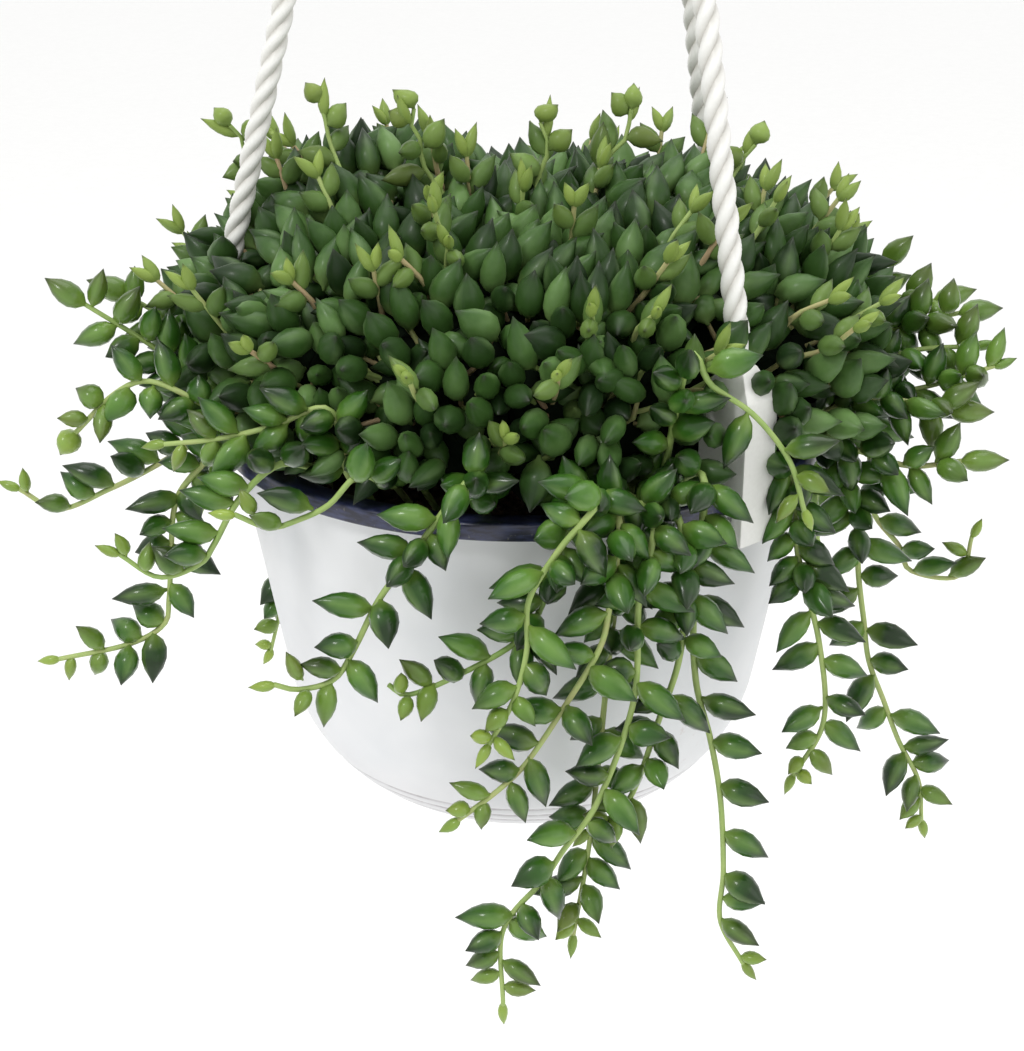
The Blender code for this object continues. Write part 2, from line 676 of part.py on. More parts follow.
# Crown bunches: azimuth, distance out and height of each, round the top one
UPPER_BUNCHES = 5
UPPER_RING = (0.051, 0.053)
OUTER_AZIMUTHS = (-112.0, -58.0, -20.0, 15.0, 68.0, 101.0, 155.0, 200.0)
OUTER_RING = (0.081, 0.031)
TOP_HEIGHT = 0.060

# Tall shoots that stand out of the crown: place in the picture, reach
SHOOTS = (
    ((318, 103), 0.000),
    ((410, 108), 0.010),
    ((545, 122), 0.000),
    ((632, 108), -0.010),
    ((755, 142), -0.010),
    ((230, 125), -0.016),
    ((822, 235), -0.010),
)


def fromPicture(point, reach):
    # the point seen at a place of the picture, on the upright plane reach in front of the axis
    eye = Vector((0.0, -EYE_RANGE * math.cos(EYE_HEIGHT), EYE_RANGE * math.sin(EYE_HEIGHT)))
    ahead = -eye.normalized()
    right = Vector((1.0, 0.0, 0.0))
    up = right.cross(ahead)
    lower = ahead * math.cos(EYE_DOWN) - up * math.sin(EYE_DOWN)
    upward = up * math.cos(EYE_DOWN) + ahead * math.sin(EYE_DOWN)
    forward = lower * math.cos(EYE_LEFT) - right * math.sin(EYE_LEFT)
    rightward = right * math.cos(EYE_LEFT) + lower * math.sin(EYE_LEFT)
    ray = (forward + rightward * (point[0] - PICTURE_MIDDLE[0]) / PICTURE_SCALE
           + upward * (PICTURE_MIDDLE[1] - point[1]) / PICTURE_SCALE)
    return eye + ray * ((-reach - eye.y) / ray.y)


def towardsEye(point):
    return Vector((0.0, -1.0, 0.15)).normalized()


def outwards(point):
    return Vector((point.x, point.y, 0.0)).normalized()


def rootPoints(azimuth, ring):
    # straight up out of its hole, then over both rims
    return [
        around(azimuth, ring, SOIL_LEVEL - HOLE_DEPTH + GAP),
        around(azimuth, ring, SOIL_LEVEL + COLLAR_HEIGHT),
        around(azimuth, (ring + CREST_RING) / 2.0, LIP_TOP + CREST_RAMP),
        around(azimuth, CREST_RING, LIP_TOP + CREST_RISE),
    ]


def stemPath(points, step):
    return [points[0]] + smoothPath(points[1:], step)


def buildStrand(name, points, side, facing, owner, first, material):
    path = stemPath(points, STEM_STEP)
    radii = [STEM_RADIUS * (1.0 - STEM_NARROWING * index / (len(path) - 1)) for index in range(len(path))]
    stem = tube(name, path, radii, 3)
    leaves = leavesAlong(path, side, facing, owner, first)
    return joinAll(name, stem, leaves, material)


def strandPoints():
    # the way of every strand, root first
    ways = {}
    for index, (name, strand) in enumerate(STRANDS.items()):
        start, end = strand["reach"]
        last = len(strand["way"]) - 1
        seen = [fromPicture(point, start + (end - start) * step / last)
                for step, point in enumerate(strand["way"])]
        azimuth = math.degrees(math.atan2(seen[0].x, -seen[0].y))
        ring = ROOT_RINGS[index % len(ROOT_RINGS)]
        ways[name] = (rootPoints(azimuth, ring) + seen, strand["side"], towardsEye)
    for index, (name, (azimuth, drop, drift)) in enumerate(BACK_STRANDS.items()):
        ring = ROOT_RINGS[index % 2]
        hang = [around(azimuth + drift * part * part, 0.096 + 0.016 * part, LIP_TOP + 0.004 - drop * part)
                for part in (0.08, 0.35, 0.62, 0.85, 1.0)]
        ways[name] = (rootPoints(azimuth, ring) + hang, 0, outwards)
    return ways


def bunchPlaces():
    places = [("crown_top", 0.0, 0.0, TOP_HEIGHT)]
    for index in range(UPPER_BUNCHES):
        places.append((f"crown_upper_{index + 1}", 15.0 + 360.0 * index / UPPER_BUNCHES, *UPPER_RING))
    for index, azimuth in enumerate(OUTER_AZIMUTHS):
        places.append((f"crown_outer_{index + 1}", azimuth, *OUTER_RING))
    return places


def domeRise(place):
    # height of the dome's top above its foot over a place
    rise = DOME_RISE
    for (x, y), spread, extra in DOME_HUMPS:
        rise += extra * math.exp(-((place.x - x) ** 2 + (place.y - y) ** 2) / (2.0 * spread ** 2))
    return rise


def domeReach(way):
    # from the dome's centre to its surface along a direction
    near, far = 0.03, 0.15
    for _ in range(24):
        reach = (near + far) / 2.0
        place = DOME_CENTRE + way * reach
        out = math.hypot(place.x / (DOME_RIGHT if place.x > 0.0 else DOME_LEFT), place.y / DOME_DEPTH)
        up = max(0.0, place.z - DOME_FOOT) / domeRise(place)
        if out ** DOME_POWER + up ** DOME_POWER < 1.0:
            near = reach
        else:
            far = reach
    return near


def innerReach(way):
    # the bunches are open underneath, down to a level just above the rim
    return max(domeReach(way) * BUNCH_HOLLOW, (BUNCH_FLOOR - DOME_CENTRE.z) / way.z)


def insideDome(way, owner):
    # above the dome's foot, clear of trailing stems and beside the hanger's arms
    place = DOME_CENTRE + way * domeReach(way)
    if way.z <= 0.0 or place.z < BUNCH_EDGE or clearReach(way, owner) < innerReach(way) + BUNCH_THINNEST:
        return False
    for azimuth in ARM_AZIMUTHS.values():
        if place.dot(around(azimuth, 1.0, 0.0)) > ARM_CLEAR[0]:
            if abs(place.dot(around(azimuth + 90.0, 1.0, 0.0))) < ARM_CLEAR[1]:
                return False
    return True


def shareEdge(seed, others, sideways, owner):
    # how far a bunch's share goes from its seed direction, as a slope
    limit = 1.2
    for other in others:
        towards = sideways.dot(other)
        if towards > 1e-6:
            limit = min(limit, (1.0 - seed.dot(other)) / towards - BUNCH_PLAY)
    near, far = 0.0, limit
    while near < limit:
        far = min(limit, near + EDGE_STEP)
        if not insideDome((seed + sideways * far).normalized(), owner):
            break
        near = far
    for _ in range(8):
        slope = (near + far) / 2.0
        if insideDome((seed + sideways * slope).normalized(), owner):
            near = slope
        else:
            far = slope
    return near


def clearReach(way, owner):
    # the surface is drawn in under the stems and arms that pass through or close above it
    others = (room.owners != owner) & (room.centres[:, 2] + room.radii > BUNCH_FLOOR)
    offsets = room.centres[others] - np.array(tuple(DOME_CENTRE))
    along = offsets @ np.array(tuple(way))
    depth = (room.radii[others] + STEM_CLEAR) ** 2 - (offsets ** 2).sum(axis=1) + along ** 2
    near = (depth > 0.0) & (along > 0.0)
    reach = domeReach(way)
    if near.any():
        reach = min(reach, (along[near] - np.sqrt(depth[near])).min())
    return reach


def shareWay(seed, others, angle, share, owner):
    # a direction in a bunch's share: 0 is its seed and 1 its edge
    across = seed.orthogonal().normalized()
    along = seed.cross(across)
    sideways = across * math.cos(angle) + along * math.sin(angle)
    return (seed + sideways * shareEdge(seed, others, sideways, owner) * share).normalized()


def bunchGrid(seed, others, owner):
    # directions and reaches of the bunch's outer side, a little uneven inside its edge
    grid = {}
    for row in range(BUNCH_GRID + 1):
        for column in range(BUNCH_GRID + 1):
            uneven = GRID_JITTER if 0 < row < BUNCH_GRID and 0 < column < BUNCH_GRID else 0.0
            u = 2.0 * (column + rng.uniform(-uneven, uneven)) / BUNCH_GRID - 1.0
            v = 2.0 * (row + rng.uniform(-uneven, uneven)) / BUNCH_GRID - 1.0
            way = shareWay(seed, others, math.atan2(v, u), max(abs(u), abs(v)), owner)
            grid[row, column] = (way, clearReach(way, owner) - CORE_DEPTH)
    return grid


def bunchFilling(grid):
    # places all through a bunch, which no other piece's leaf may come near
    filling = []
    for (row, column), (way, reach) in grid.items():
        for other in ((row, column), (row, column + 1), (row + 1, column), (row + 1, column + 1)):
            if other in grid:
                middle = (way + grid[other][0]).normalized()
                top = min(reach, grid[other][1]) - CORE_BALL
                floor = innerReach(middle)
                while top > floor:
                    filling.append(DOME_CENTRE + middle * top)
                    top -= CORE_BALL * 1.6
                filling.append(DOME_CENTRE + middle * floor)
    return filling


def leafLean(centre):
    # outwards and upwards, or down over the rim low on the dome, and never all one way
    way = (centre - DOME_CENTRE).normalized()
    rise = max(-0.9, min(0.7, (way.z - 0.62) * 6.0))
    upward = (Vector((0.0, 0.0, 1.0)) - way * way.z) * rise
    sway = Vector([math.sin(math.tau * centre[(axis + 1) % 3] / LEAN_WAVE + 2.0 * axis)
                   for axis in range(3)])
    return way + upward + sway * LEAN_SWAY


def leafRings(face, axis, length, swell):
    centre = face.calc_center_median()
    foot = [vert.co.copy() for vert in face.verts]
    belly = [centre + axis * length * CROWN_BELLY + (corner - centre) * swell for corner in foot]
    return foot, belly, centre + axis * length


def crossesBunch(bunch, foot, belly, tip):
    # the leaf above its foot, against the rest of the bunch
    low = [corner.lerp(wide, 0.15) for corner, wide in zip(foot, belly)]
    sides = [(side, (side + 1) % 4, (side + 1) % 4 + 4, side + 4) for side in range(4)]
    sides += [(side + 4, (side + 1) % 4 + 4, 8) for side in range(4)]
    return bool(BVHTree.FromPolygons(low + belly + [tip], sides).overlap(bunch))


def raiseLeaf(bm, face, owner):
    # a pointed leaf grown out of one face of the bunch
    centre = face.calc_center_median()
    spread = sum((vert.co - centre).length for vert in face.verts) / 4.0
    bunch = BVHTree.FromBMesh(bm)
    for attempt in range(CROWN_TRIES):
        stray = CROWN_STRAY * (1.0 - attempt / (CROWN_TRIES - 1))
        axis = leafLean(centre).normalized() + Vector([rng.uniform(-stray, stray) for _ in range(3)])
        axis.normalize()
        smaller = 1.0 - CROWN_SHRINK * attempt
        length = CROWN_LEAF * rng.uniform(0.90, 1.08) * smaller
        swell = CROWN_SWELL * smaller
        centres = [centre + axis * length * along for along, radius in CROWN_BALLS]
        radii = [spread * swell * radius for along, radius in CROWN_BALLS]
        corners, wide, point = leafRings(face, axis, length, swell)
        if room.free(centres, radii, owner) and not crossesBunch(bunch, corners, wide, point):
            break
    else:
        return
    room.add(centres, radii, owner)
    foot = list(face.verts)
    bmesh.ops.delete(bm, geom=[face], context="FACES_ONLY")
    belly = [bm.verts.new(place) for place in wide]
    tip = bm.verts.new(point)
    for side in range(4):
        following = (side + 1) % 4
        bm.faces.new((foot[side], foot[following], belly[following], belly[side]))
        bm.faces.new((belly[side], belly[following], tip))


def bunchBody(name, grid, seed, owner):
    # a share of the dome: its leafy outer side, its sides and its underside
    bm = bmesh.new()
    outer = {key: bm.verts.new(DOME_CENTRE + way * reach) for key, (way, reach) in grid.items()}
    leafy = []
    for row in range(BUNCH_GRID):
        for column in range(BUNCH_GRID):
            leafy.append(bm.faces.new((outer[row, column], outer[row, column + 1],
                                       outer[row + 1, column + 1], outer[row + 1, column])))
    last = BUNCH_GRID
    border = [(0, column) for column in range(last)] + [(row, last) for row in range(last)]
    border += [(last, last - column) for column in range(last)] + [(last - row, 0) for row in range(last)]
    inner = [bm.verts.new(DOME_CENTRE + grid[key][0] * innerReach(grid[key][0])) for key in border]
    middle = bm.verts.new(DOME_CENTRE + seed * innerReach(seed))
    for index, key in enumerate(border):
        following = (index + 1) % len(border)
        bm.faces.new((outer[key], inner[index], inner[following], outer[border[following]]))
        bm.faces.new((inner[index], middle, inner[following]))
    rng.shuffle(leafy)
    for face in leafy:
        raiseLeaf(bm, face, owner)
    return meshFrom(bm, name)


def shootPath(tip, seed):
    # a taller shoot, rooted in the bunch below it and well inside that bunch's edge
    way = (tip - DOME_CENTRE).normalized()
    below = (way + seed * SHOOT_INWARD).normalized()
    start = DOME_CENTRE + below * (domeReach(below) - CORE_DEPTH - SHOOT_SUNK)
    return smoothPath([start, start.lerp(tip, 0.5) + outwards(tip) * 0.0015, tip], 0.012)


def shootPieces(path, owner):
    radii = [STEM_RADIUS * (1.0 - 0.3 * index / (len(path) - 1)) for index in range(len(path))]
    leaves = leavesAlong(path, 0, towardsEye, owner, SHOOT_SUNK + CROWN_LEAF * 0.8,
                         SHOOT_LEAF_STEP)
    return [tube("shoot", path, radii, 4)] + leaves


def bunchSeed(place):
    name, azimuth, out, height = place
    return (around(azimuth, out, height) - DOME_CENTRE).normalized()


def bunchStem(place):
    # straight up out of its hole, then into the bunch
    name, azimuth, out, height = place
    seed = bunchSeed(place)
    root = around(azimuth, out * 0.52, SOIL_LEVEL - HOLE_DEPTH + SOIL_CROWN * 0.6)
    straight = root + Vector((0.0, 0.0, HOLE_DEPTH + COLLAR_HEIGHT))
    return [root, straight, DOME_CENTRE + seed * (domeReach(seed) + innerReach(seed)) / 2.0]


def nearestBunch(places, tip):
    way = (tip - DOME_CENTRE).normalized()
    return max(places, key=lambda place: bunchSeed(place).dot(way))


def buildBunch(place, grid, shoots, owner, material):
    body = bunchBody(place[0], grid, bunchSeed(place), owner)
    pieces = [tube("stem", bunchStem(place), [BUNCH_STEM] * 3, 5)]
    for path in shoots:
        pieces += shootPieces(path, owner)
    return joinAll(place[0], body, pieces, material)


def reserveHanger():
    for azimuth in ARM_AZIMUTHS.values():
        centres = [around(azimuth, FOOT_RING + shift, level * 0.001)
                   for shift in (-0.004, 0.004) for level in range(-12, 36, 5)]
        room.add(centres, [0.0078] * len(centres), -1)
        foot, top = armPoints(azimuth)
        centres = [foot.lerp(top, step / 90.0) for step in range(60)]
        room.add(centres, [ARM_RADIUS + 0.0006] * len(centres), -1)


def main():
    clearScene()
    white = makeMaterial("white_moulded_plastic", (0.86, 0.87, 0.87), 0.38)
    navy = makeMaterial("dark_nursery_plastic", (0.012, 0.013, 0.030), 0.35)
    hangerWhite = makeMaterial("white_hanger_plastic", (0.88, 0.88, 0.86), 0.42)
    earth = makeMaterial("potting_soil", (0.045, 0.028, 0.018), 0.95)
    strandGreen = makeMaterial("strand_green", (0.085, 0.20, 0.035), 0.36)
    crownGreen = makeMaterial("crown_green", (0.035, 0.11, 0.035), 0.45)

    frame = bpy.data.objects.new("pot_frame", None)
    bpy.context.scene.collection.objects.link(frame)
    frame.location = (-HOOK_SIDE, 0.0, -HANG_DROP)

    pieces = [buildCoverPot(white), buildNurseryPot(navy), buildHook(hangerWhite)]
    for side, azimuth in ARM_AZIMUTHS.items():
        pieces.append(buildArm(f"hanger_arm_{side}", azimuth, hangerWhite))
    reserveHanger()

    ways = strandPoints()
    places = bunchPlaces()
    for owner, (name, (points, side, facing)) in enumerate(ways.items()):
        path = stemPath(points, STEM_BALLS)
        room.add(path, [STEM_RADIUS * 1.05] * len(path), owner)
    seeds = [bunchSeed(place) for place in places]
    shoots = [[] for place in places]
    for point, reach in SHOOTS:
        tip = fromPicture(point, reach)
        index = places.index(nearestBunch(places, tip))
        shoots[index].append(shootPath(tip, seeds[index]))
    grids = []
    for owner, place in enumerate(places, start=len(ways)):
        stem = bunchStem(place)
        room.add([stem[1].lerp(stem[2], step / 12.0) for step in range(12)], [BUNCH_STEM] * 12, owner)
    for index, seed in enumerate(seeds):
        grids.append(bunchGrid(seed, seeds[:index] + seeds[index + 1:], len(ways) + index))
    for owner, paths in enumerate(shoots, start=len(ways)):
        for path in paths:
            fine = smoothPath(path, STEM_BALLS)
            room.add(fine, [STEM_RADIUS] * len(fine), owner)
    for owner, grid in enumerate(grids, start=len(ways)):
        inside = bunchFilling(grid)
        room.add(inside, [CORE_BALL] * len(inside), owner)

    holes = []
    for owner, (name, (points, side, facing)) in enumerate(ways.items()):
        pieces.append(buildStrand(name, points, side, facing, owner, FIRST_LEAF, strandGreen))
        holes.append((points[0], STEM_RADIUS + HOLE_PLAY, SOIL_LEVEL + 0.004))
    for owner, (place, grid) in enumerate(zip(places, grids), start=len(ways)):
        pieces.append(buildBunch(place, grid, shoots[owner - len(ways)], owner, crownGreen))
        holes.append((bunchStem(place)[0], BUNCH_STEM + HOLE_PLAY, SOIL_LEVEL + 0.006))
    pieces.append(buildSoil(earth, holes))

    for piece in pieces:
        piece.parent = frame
    bpy.context.view_layer.update()


main()
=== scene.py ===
# Potted string of tears in a white hanging pot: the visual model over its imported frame.

import math
import random
import bmesh
import bpy
from mathutils import Matrix, Vector


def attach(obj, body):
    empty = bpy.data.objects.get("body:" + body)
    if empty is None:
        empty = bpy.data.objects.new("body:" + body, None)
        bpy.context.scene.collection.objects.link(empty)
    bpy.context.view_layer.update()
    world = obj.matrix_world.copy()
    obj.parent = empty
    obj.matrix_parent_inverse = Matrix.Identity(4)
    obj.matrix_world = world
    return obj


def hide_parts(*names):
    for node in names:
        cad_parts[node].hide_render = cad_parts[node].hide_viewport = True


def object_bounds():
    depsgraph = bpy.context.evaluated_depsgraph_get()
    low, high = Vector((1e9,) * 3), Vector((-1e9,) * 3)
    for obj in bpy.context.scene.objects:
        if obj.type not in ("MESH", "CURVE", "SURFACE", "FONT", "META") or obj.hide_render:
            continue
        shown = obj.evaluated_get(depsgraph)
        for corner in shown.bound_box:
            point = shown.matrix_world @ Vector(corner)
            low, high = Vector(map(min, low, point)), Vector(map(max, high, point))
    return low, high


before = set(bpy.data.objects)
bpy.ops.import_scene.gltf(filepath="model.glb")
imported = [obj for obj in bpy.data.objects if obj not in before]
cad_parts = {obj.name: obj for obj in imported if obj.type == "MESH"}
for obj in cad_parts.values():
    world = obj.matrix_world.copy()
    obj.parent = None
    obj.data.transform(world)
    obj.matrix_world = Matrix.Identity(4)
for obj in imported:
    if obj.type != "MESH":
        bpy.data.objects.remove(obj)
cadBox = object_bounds()

# Middle of the white pot's rim. Sizes below are measured from it, in metres.
rimMiddle = Vector((-0.009, 0.0, -0.432))
chance = random.Random(7)
print("frame loaded:", len(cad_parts), "nodes")


# Shared helpers

def linearColour(code):
    # sRGB hex to the linear values that shaders take
    values = [int(code[start:start + 2], 16) / 255.0 for start in (1, 3, 5)]
    return tuple(v / 12.92 if v <= 0.04045 else ((v + 0.055) / 1.055) ** 2.4 for v in values) + (1.0,)


def fillNode(node, settings=None, links=None):
    # properties start with a small letter and input values don't. A hex code is a colour, a
    # plain number in a ramp is a grey, and a node in the links stands for its first open output.
    for key, value in (settings or {}).items():
        if key == "stops":
            ramp = node.color_ramp.elements
            while len(ramp) < len(value):
                ramp.new(0.5)
            for element, (place, tone) in zip(ramp, value):
                element.position = place
                element.color = linearColour(tone) if isinstance(tone, str) else (tone, tone, tone, 1.0)
        elif key == "curve":
            curve = node.mapping.curves[0]
            while len(curve.points) < len(value):
                curve.points.new(0.5, 0.5)
            for point, place in zip(curve.points, value):
                point.location = place
            node.mapping.update()
        elif isinstance(key, str) and key[0].islower():
            setattr(node, key, value)
        else:
            hexCode = isinstance(value, str) and value.startswith("#")
            node.inputs[key].default_value = linearColour(value) if hexCode else value
    for key, sources in (links or {}).items():
        for source in sources if isinstance(sources, list) else [sources]:
            if isinstance(source, bpy.types.Node):
                source = next(output for output in source.outputs if output.enabled)
            node.id_data.links.new(source, node.inputs[key])
    return node


def addNode(tree, kind, settings=None, links=None):
    return fillNode(tree.nodes.new(kind), settings, links)


def newMaterial(name):
    # its tree, its shader and the Object coordinates that its patterns read
    material = bpy.data.materials.new(name)
    material.use_nodes = True
    tree = material.node_tree
    place = addNode(tree, "ShaderNodeTexCoord").outputs["Object"]
    return material, tree, tree.nodes["Principled BSDF"], place


def newSockets(tree, sockets):
    # a node group's named inputs with their kinds and defaults, and its one output
    for name, kind, value in sockets:
        socket = tree.interface.new_socket(name, in_out="INPUT", socket_type="NodeSocket" + kind)
        if value is not None:
            socket.default_value = value
    tree.interface.new_socket("Geometry", in_out="OUTPUT", socket_type="NodeSocketGeometry")
    return addNode(tree, "NodeGroupInput").outputs


def grownMesh(name, mesh, tree, choices):
    # the mesh that a node group makes of a mesh, with its inputs set before it is evaluated
    grower = newObject(name, mesh)
    modifier = grower.modifiers.new("grow", "NODES")
    modifier.node_group = tree
    for item in tree.interface.items_tree:
        if item.in_out == "INPUT" and item.name in choices:
            modifier[item.identifier] = choices[item.name]
    return plainMesh(grower)


def plainMesh(source):
    # what an object's modifiers make, as a mesh of its own. The object goes.
    mesh = bpy.data.meshes.new_from_object(source.evaluated_get(bpy.context.evaluated_depsgraph_get()))
    bpy.data.objects.remove(source)
    return mesh


def newObject(name, data):
    made = bpy.data.objects.new(name, data)
    bpy.context.scene.collection.objects.link(made)
    return made


def addPiece(name, mesh, nodes, material=None):
    # a finished piece at the origin that stands for its CAD nodes
    piece = newObject(name, mesh)
    if material:
        mesh.materials.clear()
        mesh.materials.append(material)
    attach(piece, "root")
    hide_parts(*nodes)
    return piece


def aroundPot(azimuth, radius, height):
    # azimuth in degrees, 0 at the front (-Y) and positive towards +X
    turn = math.radians(azimuth)
    return Vector((radius * math.sin(turn), -radius * math.cos(turn), height))


def turnedMesh(name, profile, steps):
    # solid turned about the pot's axis from points (radius, height), closed at both poles
    bm = bmesh.new()
    rings = []
    for radius, height in profile:
        if radius < 1e-6:
            rings.append([bm.verts.new((0.0, 0.0, height))])
        else:
            rings.append([bm.verts.new(aroundPot(360.0 * step / steps, radius, height))
                          for step in range(steps)])
    for low, high in zip(rings, rings[1:]):
        for step in range(steps):
            following = (step + 1) % steps
            corners = [low[step % len(low)], low[following % len(low)],
                       high[following % len(high)], high[step % len(high)]]
            bm.faces.new(list(dict.fromkeys(corners)))
    bmesh.ops.recalc_face_normals(bm, faces=bm.faces[:])
    return meshOf(bm, name)


def smoothed(mesh, sharpAngle=40.0):
    mesh.shade_smooth()
    mesh.set_sharp_from_angle(angle=math.radians(sharpAngle))
    return mesh


def meshOf(bm, name, sharpAngle=40.0, place=rimMiddle):
    bm.transform(Matrix.Translation(place))
    mesh = bpy.data.meshes.new(name)
    bm.to_mesh(mesh)
    bm.free()
    return smoothed(mesh, sharpAngle)


def arcPoints(centre, radius, start, end, count):
    angles = [math.radians(start + (end - start) * step / count) for step in range(count + 1)]
    return [(centre[0] + radius * math.cos(angle), centre[1] + radius * math.sin(angle)) for angle in angles]


def tubeInto(bm, points, radii, sides):
    # round bar through the points, closed at both ends
    rings = []
    sideways = (points[1] - points[0]).orthogonal()
    for index, point in enumerate(points):
        ahead = (points[min(index + 1, len(points) - 1)] - points[max(index - 1, 0)]).normalized()
        sideways = (sideways - ahead * sideways.dot(ahead)).normalized()
        other = ahead.cross(sideways)
        rings.append([bm.verts.new(point + (sideways * math.cos(math.tau * side / sides)
                                            + other * math.sin(math.tau * side / sides)) * radii[index])
                      for side in range(sides)])
    for low, high in zip(rings, rings[1:]):
        for side in range(sides):
            following = (side + 1) % sides
            bm.faces.new((low[side], low[following], high[following], high[side]))
    bm.faces.new(rings[0][::-1])
    bm.faces.new(rings[-1])


def lengthsAlong(points):
    lengths = [0.0]
    for here, there in zip(points, points[1:]):
        lengths.append(lengths[-1] + (there - here).length)
    return lengths


def smoothPath(points, step):
    # evenly spaced points on a Catmull-Rom curve through the given points
    fine = []
    parts = 16
    padded = [points[0] * 2.0 - points[1]] + list(points) + [points[-1] * 2.0 - points[-2]]
    for before, start, end, after in zip(padded, padded[1:], padded[2:], padded[3:]):
        for part in range(parts):
            t = part / parts
            fine.append(0.5 * (2.0 * start + (end - before) * t
                               + (2.0 * before - 5.0 * start + 4.0 * end - after) * t ** 2
                               + (3.0 * start - before - 3.0 * end + after) * t ** 3))
    fine.append(points[-1])
    lengths = lengthsAlong(fine)
    count = max(3, round(lengths[-1] / step))
    path = []
    segment = 0
    for index in range(count + 1):
        target = lengths[-1] * index / count
        while segment < len(fine) - 2 and lengths[segment + 1] < target:
            segment += 1
        span = lengths[segment + 1] - lengths[segment]
        share = (target - lengths[segment]) / span if span > 0.0 else 0.0
        path.append(fine[segment].lerp(fine[segment + 1], share))
    return path


def taperedRadii(path, first, last):
    return [first + (last - first) * step / (len(path) - 1) for step in range(len(path))]


def scatter(most):
    # a random offset of up to so much each way
    return Vector([chance.uniform(-most, most) for _ in range(3)])


# Camera: 0.6 m from the rim's middle, 20 degrees above it, the picture 1024 x 1051
camera = {"height": math.radians(20.0), "range": 0.600, "down": math.radians(3.26),
          "left": math.radians(0.31), "slope": 2010.0, "middle": (512.0, 525.5), "lens": 68.85}
eye = Vector((0.0, -camera["range"] * math.cos(camera["height"]),
              camera["range"] * math.sin(camera["height"])))
cameraData = bpy.data.cameras.new("pictureCamera")
cameraData.lens = camera["lens"]
cameraData.sensor_width = 36.0
cameraData.clip_start = 0.01
cameraObject = newObject("pictureCamera", cameraData)
cameraObject.location = eye + rimMiddle
cameraObject.rotation_euler = (math.radians(90.0) - camera["height"] - camera["down"], 0.0, camera["left"])
bpy.context.scene.camera = cameraObject


def fromPicture(point, reach):
    # the point seen at a place of the picture, on the upright plane reach in front of the axis
    ahead = -eye.normalized()
    right = Vector((1.0, 0.0, 0.0))
    up = right.cross(ahead)
    lower = ahead * math.cos(camera["down"]) - up * math.sin(camera["down"])
    upward = up * math.cos(camera["down"]) + ahead * math.sin(camera["down"])
    forward = lower * math.cos(camera["left"]) - right * math.sin(camera["left"])
    rightward = right * math.cos(camera["left"]) + lower * math.sin(camera["left"])
    ray = (forward + rightward * (point[0] - camera["middle"][0]) / camera["slope"]
           + upward * (camera["middle"][1] - point[1]) / camera["slope"])
    return eye + ray * ((-reach - eye.y) / ray.y)


# Sizes of the pots and the hanger, which the plant keeps clear of

coverSizes = {"steps": 160, "depth": 0.120, "wall": 0.0022, "baseRadius": 0.023, "baseRound": 0.050,
              "taper": 10.0, "beadHeight": 0.0045, "beadRadius": 0.0880, "grooveDepth": 0.00055,
              "grooveWidth": 1.1, "grooveAngles": (-63.0, -55.0, -48.0, -42.0, -36.5)}
nurserySizes = {"steps": 144, "lipRadius": 0.0895, "lipTop": 0.0015, "skirt": 0.0050, "radius": 0.0826,
                "wall": 0.0012, "taper": 13.0, "depth": 0.096, "gap": 0.0003, "drainHoles": 6,
                "drainRadius": 0.004, "drainRing": 0.038}
soilSizes = {"steps": 96, "level": -0.0110, "crown": 0.0020, "crumbs": 420, "crumbSize": (0.0008, 0.0022)}
hangerSizes = {"azimuths": {"left": -85.0, "front_right": 41.0, "back_right": 135.5}, "armRadius": 0.0033,
               "pitch": 0.0215, "footRing": 0.0867, "footDepth": 0.0170, "footWidth": 0.0120,
               "footWall": 0.0038, "footClaw": 0.0050, "footPlay": 0.0010, "shoulder": 0.0290,
               "footTop": 0.0370, "topWidth": 0.0056, "neck": 0.0027, "hubBottom": 0.3790,
               "hubHeight": 0.0140, "hubRadius": 0.0125, "socketRing": 0.0074, "hookSide": 0.009,
               "hookWire": 0.0024, "hookBend": 0.0130, "hangDrop": 0.432, "bevel": 0.0006}


def armEnds(azimuth, low=hangerSizes["footTop"]):
    # an arm's line from its foot to its socket in the hub
    foot = aroundPot(azimuth, hangerSizes["footRing"], low)
    top = Vector((hangerSizes["hookSide"], 0.0, 0.0)) + aroundPot(
        azimuth, hangerSizes["socketRing"], hangerSizes["hubBottom"])
    return foot, top


# Materials of the pots and the hanger

